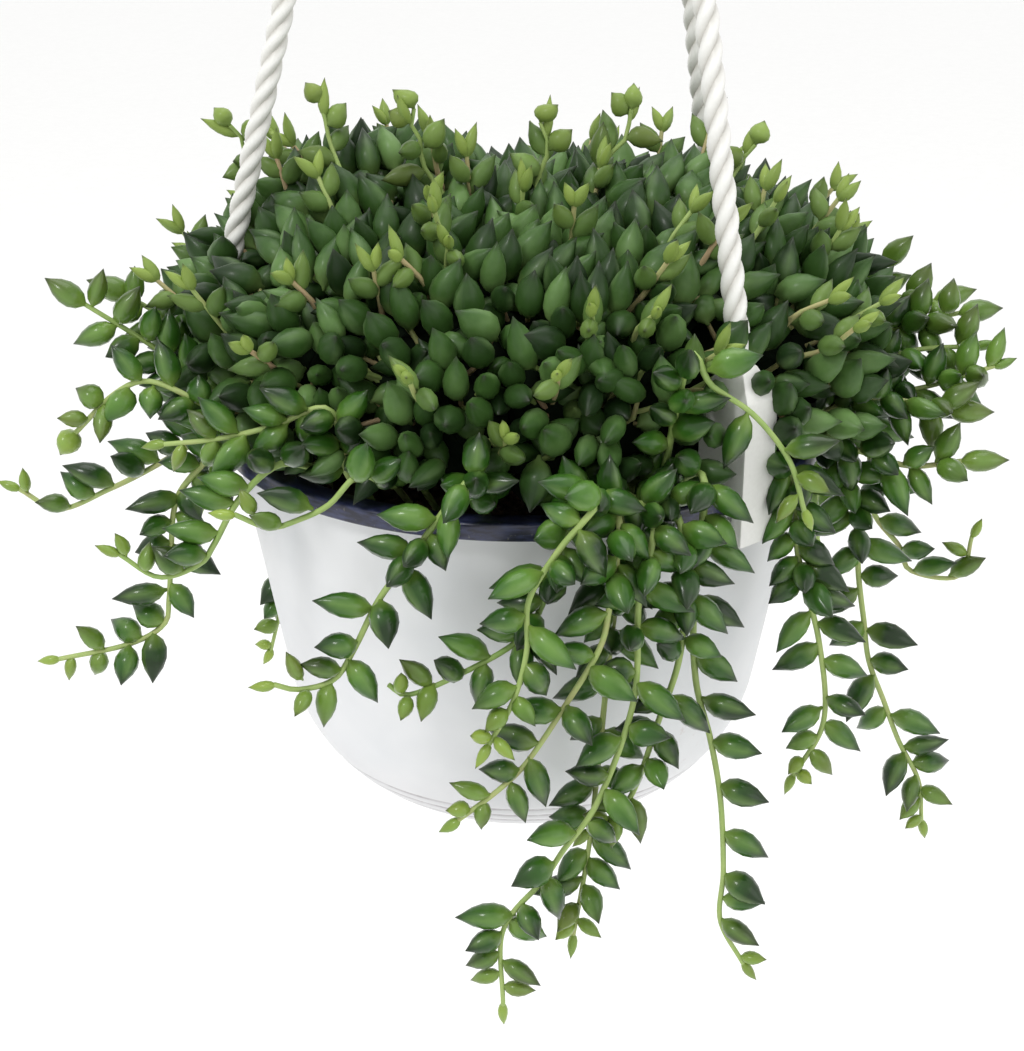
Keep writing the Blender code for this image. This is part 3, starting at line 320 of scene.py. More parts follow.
def whitePotPlastic():
    # injection-moulded polypropylene, satin: soft broad highlights, faint flow marks, a few
    # brownish handling scuffs low on its right side, painted shade with a little dust darkening
    # the wall towards its foot, and dust with painted shade in the rings round its foot
    look = {"white": "#dadbdd", "shade": "#cfd1d4", "lowShadeAndDust": "#bbb6b8", "scuff": "#a88f88", "dust": "#8d8488",
            "grainMm": 0.6, "flowMm": 38.0, "marksPerMetre": 210.0, "scuffMiddle": (0.030, -0.070, -0.520),
            "scuffFull": 0.012, "scuffEnd": 0.034, "scuffMost": 0.42, "lowShadeFrom": 0.085, "lowShadeTo": 0.119,
            "lowShadeMost": 0.45, "footHeight": 0.024, "ringHalfWidth": 0.030, "ringLeast": 0.30,
            "ringMost": 0.85}
    material, tree, shader, place = newMaterial("mouldedWhitePolypropylene")
    flow = addNode(tree, "ShaderNodeTexNoise", {"Scale": 1000.0 / look["flowMm"], "Detail": 3.0},
                   {"Vector": place})
    tone = addNode(tree, "ShaderNodeValToRGB", {"stops": [(0.35, look["shade"]), (0.62, look["white"])]},
                   {"Fac": flow})
    marks = addNode(tree, "ShaderNodeTexNoise",
                    {"Scale": look["marksPerMetre"], "Detail": 4.0, "Roughness": 0.7}, {"Vector": place})
    fleck = addNode(tree, "ShaderNodeValToRGB", {"stops": [(0.60, 0.0), (0.70, 1.0)]}, {"Fac": marks})
    patch = addNode(tree, "ShaderNodeMapping", {"Location": [-value for value in look["scuffMiddle"]]},
                    {"Vector": place})
    away = addNode(tree, "ShaderNodeVectorMath", {"operation": "LENGTH"}, {0: patch})
    near = addNode(tree, "ShaderNodeMapRange", {"From Min": look["scuffFull"], "From Max": look["scuffEnd"],
                                                "To Min": look["scuffMost"], "To Max": 0.0}, {"Value": away})
    amount = addNode(tree, "ShaderNodeMath", {"operation": "MULTIPLY"}, {0: fleck, 1: near})
    height = addNode(tree, "ShaderNodeSeparateXYZ", {}, {0: place}).outputs["Z"]
    # painted shade with a little dust: the lower wall darkens towards the foot
    low = addNode(tree, "ShaderNodeMapRange", {"From Min": rimMiddle.z - look["lowShadeFrom"],
                                               "From Max": rimMiddle.z - look["lowShadeTo"],
                                               "To Max": look["lowShadeMost"]}, {"Value": height})
    lowShaded = addNode(tree, "ShaderNodeMix", {"data_type": "RGBA", 7: look["lowShadeAndDust"]}, {0: low, 6: tone})
    scuffed = addNode(tree, "ShaderNodeMix", {"data_type": "RGBA", 7: look["scuff"]}, {0: amount, 6: lowShaded})
    # dust and painted shade in the rings round the foot: darker lines along the grooves, broken unevenly
    bottom = rimMiddle.z - coverSizes["depth"]
    foot = addNode(tree, "ShaderNodeMapRange", {"From Min": bottom, "From Max": bottom + look["footHeight"]},
                   {"Value": height})
    stops = [(0.0, 0.0)]
    for angle in coverSizes["grooveAngles"]:
        share = coverSizes["baseRound"] * (1.0 + math.sin(math.radians(angle))) / look["footHeight"]
        stops += [(share - look["ringHalfWidth"], 0.0), (share, 1.0), (share + look["ringHalfWidth"], 0.0)]
    rings = addNode(tree, "ShaderNodeValToRGB", {"stops": stops}, {"Fac": foot})
    broken = addNode(tree, "ShaderNodeMapRange", {"From Min": 0.35, "From Max": 0.65,
                                                  "To Min": look["ringLeast"], "To Max": look["ringMost"]},
                     {"Value": marks})
    ringDustAndShade = addNode(tree, "ShaderNodeMath", {"operation": "MULTIPLY"}, {0: rings, 1: broken})
    colour = addNode(tree, "ShaderNodeMix", {"data_type": "RGBA", 7: look["dust"]}, {0: ringDustAndShade, 6: scuffed})
    grain = addNode(tree, "ShaderNodeTexNoise", {"Scale": 1000.0 / look["grainMm"], "Detail": 2.0},
                    {"Vector": place})
    rough = addNode(tree, "ShaderNodeMapRange", {"To Min": 0.34, "To Max": 0.46}, {"Value": flow})
    bump = addNode(tree, "ShaderNodeBump", {"Strength": 0.04, "Distance": 0.0002}, {"Height": grain})
    fillNode(shader, {"IOR": 1.49}, {"Base Color": colour, "Roughness": rough, "Normal": bump})
    return material


def nurseryPlastic():
    # thin blow-moulded pot in near-black navy, glossy, with dust and faint mould lines
    look = {"navy": "#15172b", "worn": "#343a5c", "dust": "#6d6a63", "streakMm": 5.0, "specksPerMetre": 900.0}
    material, tree, shader, place = newMaterial("navyNurseryPlastic")
    stretch = addNode(tree, "ShaderNodeMapping", {"Scale": (1.0, 1.0, 4.0)}, {"Vector": place})
    streak = addNode(tree, "ShaderNodeTexNoise", {"Scale": 1000.0 / look["streakMm"], "Detail": 4.0},
                     {"Vector": stretch})
    tone = addNode(tree, "ShaderNodeValToRGB", {"stops": [(0.42, look["navy"]), (0.70, look["worn"])]},
                   {"Fac": streak})
    specks = addNode(tree, "ShaderNodeTexNoise", {"Scale": look["specksPerMetre"], "Detail": 2.0},
                     {"Vector": place})
    dust = addNode(tree, "ShaderNodeMapRange", {"From Min": 0.66, "From Max": 0.74, "To Max": 0.5},
                   {"Value": specks})
    colour = addNode(tree, "ShaderNodeMix", {"data_type": "RGBA", 7: look["dust"]}, {0: dust, 6: tone})
    rough = addNode(tree, "ShaderNodeMapRange", {"To Min": 0.24, "To Max": 0.42}, {"Value": streak})
    bump = addNode(tree, "ShaderNodeBump", {"Strength": 0.08, "Distance": 0.0003}, {"Height": streak})
    fillNode(shader, {"IOR": 1.50, "Coat Weight": 0.25, "Coat Roughness": 0.15},
             {"Base Color": colour, "Roughness": rough, "Normal": bump})
    return material


def hangerPlastic():
    # moulded white polypropylene, a little yellowed, with painted shade in the twist's grooves
    look = {"white": "#e6e6e2", "grooveShade": "#c4c2bb", "grainMm": 1.2}
    material, tree, shader, place = newMaterial("mouldedHangerPlastic")
    grain = addNode(tree, "ShaderNodeTexNoise", {"Scale": 1000.0 / look["grainMm"], "Detail": 3.0},
                    {"Vector": place})
    # painted shade: the twist's grooves are darkened by their depth, stored as groove
    hollow = addNode(tree, "ShaderNodeAttribute", {"attribute_name": "groove"})
    mixed = addNode(tree, "ShaderNodeMath", {"operation": "MULTIPLY_ADD", 1: 0.35, 2: -0.12}, {0: grain})
    both = addNode(tree, "ShaderNodeMath", {"operation": "ADD", "use_clamp": True},
                   {0: mixed, 1: hollow.outputs["Fac"]})
    colour = addNode(tree, "ShaderNodeMix", {"data_type": "RGBA", 6: look["white"], 7: look["grooveShade"]},
                     {0: both})
    rough = addNode(tree, "ShaderNodeMapRange", {"To Min": 0.36, "To Max": 0.48}, {"Value": grain})
    bump = addNode(tree, "ShaderNodeBump", {"Strength": 0.05, "Distance": 0.0003}, {"Height": grain})
    fillNode(shader, {"IOR": 1.49}, {"Base Color": colour, "Roughness": rough, "Normal": bump})
    return material


def pottingMix():
    # damp peat with bark: near black crumbs and brown fibres, dull all over
    look = {"peat": "#1d1410", "fibre": "#4a3527", "bark": "#6b4d36", "crumbMm": 2.8, "fibresPerMetre": 420.0}
    material, tree, shader, place = newMaterial("dampPottingMix")
    crumbs = addNode(tree, "ShaderNodeTexVoronoi", {"Scale": 1000.0 / look["crumbMm"]}, {"Vector": place})
    fibres = addNode(tree, "ShaderNodeTexNoise", {"Scale": look["fibresPerMetre"], "Detail": 6.0,
                                                  "Roughness": 0.7}, {"Vector": place})
    tone = addNode(tree, "ShaderNodeValToRGB", {"stops": [(0.35, look["peat"]), (0.55, look["fibre"]),
                                                          (0.75, look["bark"])]}, {"Fac": fibres})
    height = addNode(tree, "ShaderNodeMath", {"operation": "ADD"}, {0: crumbs, 1: fibres})
    bump = addNode(tree, "ShaderNodeBump", {"Strength": 0.7, "Distance": 0.0008}, {"Height": height})
    fillNode(shader, {"Roughness": 0.95}, {"Base Color": tone, "Normal": bump})
    return material


whitePot = whitePotPlastic()
navyPot = nurseryPlastic()
hangerWhite = hangerPlastic()
soilMix = pottingMix()


# Materials of the plant. Leaves carry leafAlong (0 at the neck, 1 at the tip), leafSide
# (1 on the side that faces out), tint (0 dark to 1 light) and youth (1 at a growing tip).

def leafSkin(name, look):
    # waxy succulent skin over watery flesh: soft highlights, a paler lengthwise window
    material, tree, shader, place = newMaterial(name)
    along, side, tint, youth = (
        addNode(tree, "ShaderNodeAttribute", {"attribute_name": key}).outputs["Fac"]
        for key in ("leafAlong", "leafSide", "tint", "youth"))
    cells = addNode(tree, "ShaderNodeTexNoise", {"Scale": 1000.0 / look["mottleMm"], "Detail": 3.0},
                    {"Vector": place})
    spread = addNode(tree, "ShaderNodeMath", {"operation": "MULTIPLY_ADD", 1: 0.5, 2: -0.25}, {0: cells})
    # plump and lighter near the stem, darker towards the tip
    fade = addNode(tree, "ShaderNodeMath", {"operation": "MULTIPLY_ADD", 1: -look["fade"],
                                            2: look["fade"] * 0.45}, {0: along})
    uneven = addNode(tree, "ShaderNodeMath", {"operation": "ADD"}, {0: spread, 1: fade})
    shade = addNode(tree, "ShaderNodeMath", {"operation": "ADD", "use_clamp": True}, {0: tint, 1: uneven})
    flesh = addNode(tree, "ShaderNodeValToRGB", {"stops": [(0.0, look["dark"]), (0.5, look["middle"]),
                                                           (1.0, look["light"])]}, {"Fac": shade})
    grown = addNode(tree, "ShaderNodeMix", {"data_type": "RGBA", 7: look["young"]}, {0: youth, 6: flesh})
    ends = addNode(tree, "ShaderNodeValToRGB",
                   {"stops": [(0.0, 0.70), (0.36, 0.0), (0.86, 0.0), (1.0, 0.85)]}, {"Fac": along})
    upper = addNode(tree, "ShaderNodeMath", {"operation": "GREATER_THAN", 1: 0.5}, {0: along})
    endColour = addNode(tree, "ShaderNodeMix", {"data_type": "RGBA", 6: look["neck"], 7: look["tip"]},
                        {0: upper})
    ended = addNode(tree, "ShaderNodeMix", {"data_type": "RGBA"}, {0: ends, 6: grown, 7: endColour})
    ridge = addNode(tree, "ShaderNodeMapRange",
                    {"From Min": 0.80, "From Max": 0.99, "To Max": look["window"]}, {"Value": side})
    middle = addNode(tree, "ShaderNodeValToRGB",
                     {"stops": [(0.20, 0.0), (0.36, 1.0), (0.70, 1.0), (0.90, 0.0)]}, {"Fac": along})
    window = addNode(tree, "ShaderNodeMath", {"operation": "MULTIPLY"}, {0: ridge, 1: middle})
    colour = addNode(tree, "ShaderNodeMix", {"data_type": "RGBA", 7: look["windowColour"]},
                     {0: window, 6: ended})
    rough = addNode(tree, "ShaderNodeMapRange",
                    {"To Min": look["rough"] - 0.06, "To Max": look["rough"] + 0.10}, {"Value": cells})
    skin = addNode(tree, "ShaderNodeTexNoise", {"Scale": 1000.0 / look["skinMm"], "Detail": 2.0},
                   {"Vector": place})
    bump = addNode(tree, "ShaderNodeBump", {"Strength": 0.12, "Distance": 0.0002}, {"Height": skin})
    fillNode(shader, {"IOR": 1.40, "Specular IOR Level": 0.32, "Coat Weight": look["coat"],
                      "Coat Roughness": 0.13, "Coat IOR": 1.38},
             {"Base Color": colour, "Roughness": rough, "Normal": bump})
    return material


def stemSkin(name, look):
    # thin green to tan bark, matt and slightly wrinkled lengthways
    material, tree, shader, place = newMaterial(name)
    tone = addNode(tree, "ShaderNodeAttribute", {"attribute_name": "stemTone"})
    patches = addNode(tree, "ShaderNodeTexNoise", {"Scale": 1000.0 / look["patchMm"], "Detail": 3.0},
                      {"Vector": place})
    spread = addNode(tree, "ShaderNodeMath", {"operation": "MULTIPLY_ADD", 1: 0.6, 2: -0.3}, {0: patches})
    shade = addNode(tree, "ShaderNodeMath", {"operation": "ADD", "use_clamp": True},
                    {0: tone.outputs["Fac"], 1: spread})
    colour = addNode(tree, "ShaderNodeValToRGB", {"stops": [(0.0, look["green"]), (0.5, look["olive"]),
                                                            (1.0, look["tan"])]}, {"Fac": shade})
    bump = addNode(tree, "ShaderNodeBump", {"Strength": 0.3, "Distance": 0.0002}, {"Height": patches})
    fillNode(shader, {"Roughness": look["rough"], "Specular IOR Level": look["gloss"]},
             {"Base Color": colour, "Normal": bump})
    return material


strandLeaf = leafSkin("glossyTrailingLeaf", {
    "dark": "#172e0d", "middle": "#2b5315", "light": "#52792d", "young": "#93a944", "neck": "#7f9648",
    "tip": "#1d2612", "windowColour": "#7c9c54", "window": 0.36, "rough": 0.36, "coat": 0.55, "fade": 0.95,
    "mottleMm": 5.0, "skinMm": 0.5})
crownLeaf = leafSkin("bluishCrownLeaf", {
    "dark": "#1a2e13", "middle": "#345222", "light": "#64844a", "young": "#93a850", "neck": "#6c8048",
    "tip": "#1c2214", "windowColour": "#7a9662", "window": 0.30, "rough": 0.42, "coat": 0.12, "fade": 0.50,
    "mottleMm": 6.0, "skinMm": 0.5})
stemBark = stemSkin("wrinkledStemSkin", {"green": "#7c9c4c", "olive": "#9db068", "tan": "#b39a78",
                                         "patchMm": 4.0, "rough": 0.55, "gloss": 0.5})
# painted shade: near-black colours for the core that fills the gaps deep inside the crown
innerShade = stemSkin("paintedCoreShade", {"green": "#0c160a", "olive": "#121e10", "tan": "#1e1810",
                                          "patchMm": 3.0, "rough": 0.9, "gloss": 0.1})
print("materials made")


# Geometry nodes: leaves on loose points and stems along edges

def plantTree():
    tree = bpy.data.node_groups.new("leavesAndStems", "GeometryNodeTree")
    given = newSockets(tree, (
        ("Geometry", "Geometry", None), ("Leaf sides", "Int", 10), ("Leaf rings", "Int", 7),
        ("Tip hook", "Float", 0.45), ("Flatness", "Float", 0.84), ("Stem sides", "Int", 6),
        ("Core", "Object", None), ("Leaf skin", "Material", None), ("Stem skin", "Material", None),
        ("Core skin", "Material", None)))
    body = addNode(tree, "GeometryNodeMeshCylinder",
                   {"fill_type": "TRIANGLE_FAN", "Radius": 1.0, "Depth": 1.0},
                   {"Vertices": given["Leaf sides"], "Side Segments": given["Leaf rings"]})
    spot = addNode(tree, "GeometryNodeInputPosition")
    parts = addNode(tree, "ShaderNodeSeparateXYZ", {}, {0: spot}).outputs
    step = addNode(tree, "ShaderNodeMath", {"operation": "ADD", 1: 0.5, "use_clamp": True}, {0: parts["Z"]})
    # the rings stand closer at the neck and at the tip
    along = addNode(tree, "ShaderNodeFloatCurve",
                    {"curve": [(0.0, 0.0), (0.125, 0.06), (0.25, 0.15), (0.375, 0.28), (0.5, 0.44),
                               (0.625, 0.60), (0.75, 0.76), (0.875, 0.90), (1.0, 1.0)]}, {"Value": step})
    marked = addNode(tree, "GeometryNodeStoreNamedAttribute", {"data_type": "FLOAT", "Name": "leafAlong"},
                     {"Geometry": body, "Value": along})
    faced = addNode(tree, "GeometryNodeStoreNamedAttribute", {"data_type": "FLOAT", "Name": "leafSide"},
                    {"Geometry": marked, "Value": parts["X"]})
    # half width of the leaf from its neck to its pointed tip
    outline = addNode(tree, "ShaderNodeFloatCurve",
                      {"curve": [(0.0, 0.060), (0.06, 0.095), (0.15, 0.30), (0.28, 0.455), (0.44, 0.500),
                                 (0.60, 0.455), (0.76, 0.315), (0.90, 0.125), (1.0, 0.010)]},
                      {"Value": along})
    bend = addNode(tree, "ShaderNodeMath", {"operation": "POWER", 1: 2.4}, {0: along})
    push = addNode(tree, "ShaderNodeMath", {"operation": "MULTIPLY"}, {0: bend, 1: given["Tip hook"]})
    thin = addNode(tree, "ShaderNodeMath", {"operation": "MULTIPLY"}, {0: parts["Y"], 1: given["Flatness"]})
    variants = []
    for hook, lean in ((1.0, 0.0), (-0.5, 0.35), (0.45, -0.4), (0.0, 0.15)):
        toFront, toSide = (addNode(tree, "ShaderNodeMath", {"operation": "MULTIPLY", 1: share}, {0: push})
                           for share in (hook, lean))
        x, y = (addNode(tree, "ShaderNodeMath", {"operation": "MULTIPLY_ADD"},
                        {0: part, 1: outline, 2: shift})
                for part, shift in ((parts["X"], toFront), (thin, toSide)))
        shape = addNode(tree, "ShaderNodeCombineXYZ", {}, {"X": x, "Y": y, "Z": along})
        variants.append(addNode(tree, "GeometryNodeSetPosition", {}, {"Geometry": faced, "Position": shape}))
    leaves = addNode(tree, "GeometryNodeGeometryToInstance", {}, {"Geometry": variants})
    axis, facing, size, kind, isLeaf, radius = (
        addNode(tree, "GeometryNodeInputNamedAttribute", {"data_type": dataType, "Name": name})
        for name, dataType in (("leafAxis", "FLOAT_VECTOR"), ("leafFacing", "FLOAT_VECTOR"),
                               ("leafSize", "FLOAT_VECTOR"), ("leafKind", "INT"), ("isLeaf", "BOOLEAN"),
                               ("stemRadius", "FLOAT")))
    turn = addNode(tree, "FunctionNodeAxesToRotation", {"primary_axis": "Z", "secondary_axis": "X"},
                   {0: axis, 1: facing})
    placed = addNode(tree, "GeometryNodeInstanceOnPoints", {"Pick Instance": True},
                     {"Points": given["Geometry"], "Selection": isLeaf, "Instance": leaves,
                      "Instance Index": kind, "Rotation": turn, "Scale": size})
    solid = addNode(tree, "GeometryNodeRealizeInstances", {}, {"Geometry": placed})
    leafy = addNode(tree, "GeometryNodeSetMaterial", {}, {"Geometry": solid, "Material": given["Leaf skin"]})
    ways = addNode(tree, "GeometryNodeMeshToCurve", {}, {"Mesh": given["Geometry"]})
    thick = addNode(tree, "GeometryNodeSetCurveRadius", {}, {"Curve": ways, "Radius": radius})
    ring = addNode(tree, "GeometryNodeCurvePrimitiveCircle", {"Radius": 1.0},
                   {"Resolution": given["Stem sides"]})
    bars = addNode(tree, "GeometryNodeCurveToMesh", {"Fill Caps": True},
                   {"Curve": thick, "Profile Curve": ring, "Scale": radius})
    woody = addNode(tree, "GeometryNodeSetMaterial", {}, {"Geometry": bars, "Material": given["Stem skin"]})
    mass = addNode(tree, "GeometryNodeObjectInfo", {}, {"Object": given["Core"]})
    shaded = addNode(tree, "GeometryNodeSetMaterial", {}, {"Geometry": mass.outputs["Geometry"],
                                                           "Material": given["Core skin"]})
    whole = addNode(tree, "GeometryNodeJoinGeometry", {}, {"Geometry": [leafy, woody, shaded]})
    even = addNode(tree, "GeometryNodeSetShadeSmooth", {}, {"Geometry": whole})
    addNode(tree, "NodeGroupOutput", {}, {"Geometry": even})
    return tree


leavesAndStems = plantTree()


def growPiece(name, leaves, stems, skin, core=None):
    # points with the leaves' attributes and edges along the stems, grown by the node tree
    places, edges, radii, tones = [], [], [], []
    for path, pathRadii, tone in stems:
        start = len(places)
        places += [point + rimMiddle for point in path]
        radii += pathRadii
        tones += [tone] * len(path)
        edges += [(start + step, start + step + 1) for step in range(len(path) - 1)]
    stemCount = len(places)
    places += [leaf["base"] + rimMiddle for leaf in leaves]
    mesh = bpy.data.meshes.new(name)
    mesh.from_pydata([tuple(place) for place in places], edges, [])
    blank = [0.0] * stemCount
    noLeaf = [0.0] * len(leaves)
    forTrees = {
        "isLeaf": ("BOOLEAN", [False] * stemCount + [True] * len(leaves)),
        "leafKind": ("INT", [0] * stemCount + [leaf["kind"] for leaf in leaves]),
        "stemRadius": ("FLOAT", radii + noLeaf),
        "leafAxis": ("FLOAT_VECTOR", [0.0, 0.0, 1.0] * stemCount
                     + [value for leaf in leaves for value in leaf["axis"]]),
        "leafFacing": ("FLOAT_VECTOR", [0.0, -1.0, 0.0] * stemCount
                       + [value for leaf in leaves for value in leaf["facing"]]),
        "leafSize": ("FLOAT_VECTOR", [1.0, 1.0, 1.0] * stemCount
                     + [leaf[key] for leaf in leaves for key in ("width", "width", "length")]),
    }
    forSkins = {
        "tint": ("FLOAT", blank + [leaf["tint"] for leaf in leaves]),
        "youth": ("FLOAT", blank + [leaf["youth"] for leaf in leaves]),
        "stemTone": ("FLOAT", tones + noLeaf),
    }
    for key, (kind, values) in {**forTrees, **forSkins}.items():
        attribute = mesh.attributes.new(key, kind, "POINT")
        attribute.data.foreach_set("vector" if kind == "FLOAT_VECTOR" else "value", values)
    choices = {"Leaf skin": skin, "Stem skin": stemBark, "Core skin": innerShade}
    if core:
        choices["Core"] = core
    grown = grownMesh(name + "Grower", mesh, leavesAndStems, choices)
    if core:
        bpy.data.objects.remove(core)
    for key in forTrees:
        if key in grown.attributes:
            grown.attributes.remove(grown.attributes[key])
    # the slots without a material go, and the faces keep their own
    worn = [material for material in grown.materials if material]
    slots = [worn.index(material) if material else 0 for material in grown.materials]
    faces = [0] * len(grown.polygons)
    grown.polygons.foreach_get("material_index", faces)
    grown.materials.clear()
    for material in worn:
        grown.materials.append(material)
    grown.polygons.foreach_set("material_index", [slots[index] for index in faces])
    return grown


# Leaves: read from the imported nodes, or added between them

def newLeaf(base, axis, length, width, tint, spread=0.0, youth=0.0):
    # kind picks one of the four shapes, and tint varies by the spread about its middle
    kind = chance.randrange(4)
    if spread:
        tint = min(1.0, max(0.0, chance.gauss(tint, spread)))
    return {"base": base, "axis": axis, "length": length, "width": width, "kind": kind, "tint": tint,
            "youth": youth}


def alongLeaf(leaf, share):
    return leaf["base"] + leaf["axis"] * leaf["length"] * share


def turnedAcross(axis):
    # a direction square to the axis, at a random turn about it
    across = axis.orthogonal().normalized()
    across.rotate(Matrix.Rotation(chance.uniform(0.0, math.tau), 3, axis))
    return across


def mergedNode(name):
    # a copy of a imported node's loose triangles with its doubles merged
    bm = bmesh.new()
    bm.from_mesh(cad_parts[name].data)
    bmesh.ops.remove_doubles(bm, verts=bm.verts[:], dist=0.00002)
    return bm


def leavesOfNode(name, bellyShare, sharpest=math.radians(215.0), shortest=0.0012):
    # each leaf's tip is where four faces meet sharply, and its belly is the ring round it
    bm = mergedNode(name)
    found = []
    for vert in bm.verts:
        if sum(loop.calc_angle() for loop in vert.link_loops) > sharpest:
            continue
        wide = [edge.other_vert(vert).co for edge in vert.link_edges]
        if len(wide) != 4:
            continue
        belly = sum(wide, Vector()) / 4.0
        reach = (vert.co - belly).length
        if reach < shortest:
            continue
        axis = (vert.co - belly) / reach
        length = reach / (1.0 - bellyShare)
        width = 2.0 * sum((corner - belly).length for corner in wide) / 4.0
        found.append(newLeaf(vert.co - axis * length - rimMiddle, axis, length, width, 0.5, 0.28))
    bm.free()
    return found


# Room taken by leaves, as balls in a grid of cells, so that added leaves keep clear

takenCells = {}
roomSizes = {"cell": 0.012, "balls": ((0.34, 0.40), (0.50, 0.46), (0.66, 0.34), (0.84, 0.16))}


def cellOf(place):
    return tuple(int(math.floor(value / roomSizes["cell"])) for value in place)


def leafBalls(leaf):
    for along, share in roomSizes["balls"]:
        yield alongLeaf(leaf, along), leaf["width"] * share


def takeRoom(leaf):
    for centre, radius in leafBalls(leaf):
        takenCells.setdefault(cellOf(centre), []).append((centre, radius))


def hasRoom(leaf, ease):
    for centre, radius in leafBalls(leaf):
        x, y, z = cellOf(centre)
        for cell in ((x + i, y + j, z + k) for i in (-1, 0, 1) for j in (-1, 0, 1) for k in (-1, 0, 1)):
            for other, otherRadius in takenCells.get(cell, ()):
                if (other - centre).length < (radius + otherRadius) * ease:
                    return False
    return True


# The pot's outside, simplified, and the front arm's foot, which stays in sight
clearSizes = {"top": 0.003, "lipBottom": -0.008, "lipRadius": 0.0897, "wallTop": 0.0865, "roundFrom": -0.070,
              "box": 0.001, "paddleRing": 0.0952, "paddleHeights": (0.030, 0.022, 0.014, 0.006, -0.002),
              "paddleRoom": 0.006, "paddleShare": 0.35}


def potClear(place, margin):
    # outside the white pot's wall and the lip, or above them
    out = math.hypot(place.x, place.y)
    if place.z > clearSizes["top"] + margin:
        return True
    if place.z > clearSizes["lipBottom"]:
        return out > clearSizes["lipRadius"] + margin
    wall = clearSizes["wallTop"] + place.z * math.tan(math.radians(coverSizes["taper"]))
    if place.z < clearSizes["roundFrom"]:
        drop = min(1.0, (clearSizes["roundFrom"] - place.z) / coverSizes["baseRound"])
        wall = min(wall, coverSizes["baseRadius"] + coverSizes["baseRound"] * math.sqrt(1.0 - drop * drop))
    return out > wall + margin


def insideBox(leaf):
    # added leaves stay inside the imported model's box
    tip = alongLeaf(leaf, 1.0) + rimMiddle
    return all(cadBox[0][i] + clearSizes["box"] < tip[i] < cadBox[1][i] - clearSizes["box"] for i in range(3))


def hidesPaddle(leaf):
    # in the line of sight from the picture's eye to the front arm's foot
    middle = alongLeaf(leaf, 0.5) - eye
    room = leaf["length"] * clearSizes["paddleShare"] + clearSizes["paddleRoom"]
    for height in clearSizes["paddleHeights"]:
        sight = aroundPot(hangerSizes["azimuths"]["front_right"], clearSizes["paddleRing"], height) - eye
        along = middle.dot(sight.normalized())
        if along < sight.length and (middle - sight.normalized() * along).length < room:
            return True
    return False


def fits(leaf, ease):
    # free of the pot and of the other leaves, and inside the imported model's box
    return hasRoom(leaf, ease) and potClear(alongLeaf(leaf, 0.5), leaf["width"] * 0.5) and insideBox(leaf)


# Strands: the CAD stems' own ways, in picture points with their reach in front of the axis

strandSizes = {"stemRadius": 0.0011, "thinnest": 0.65, "leafLength": 0.0148, "leafWidth": 0.0086,
               "firstLeaf": 0.020, "firstPoint": 8, "leafRoom": 0.0060, "looseRoom": 0.0104,
               "denseTo": 0.085, "tipLength": 0.030, "tipRoom": 0.0066, "ease": 0.78, "growth": 0.045,
               "smallest": 0.50, "smallestFull": 0.80, "fullSize": (0.0135, 0.0078), "plump": 1.06,
               "beadSize": (0.0088, 0.0076), "youngTo": 0.020, "holeDepth": 0.0095, "crestRing": 0.0845,
               "crestRise": 0.0058, "collar": 0.0020, "step": 0.0022}
rootRings = (0.072, 0.065, 0.058, 0.0685)
# a dry, hungry shoot with small round leaves
beadyStrands = ("strand_left_2",)
# side shoots that end in full leaves, not in a small growing tip
fullEnds = ("strand_right_4", "strand_right_5", "strand_right_6", "strand_right_7", "strand_right_8",
            "strand_right_9", "strand_right_10", "strand_left_1", "strand_left_8")
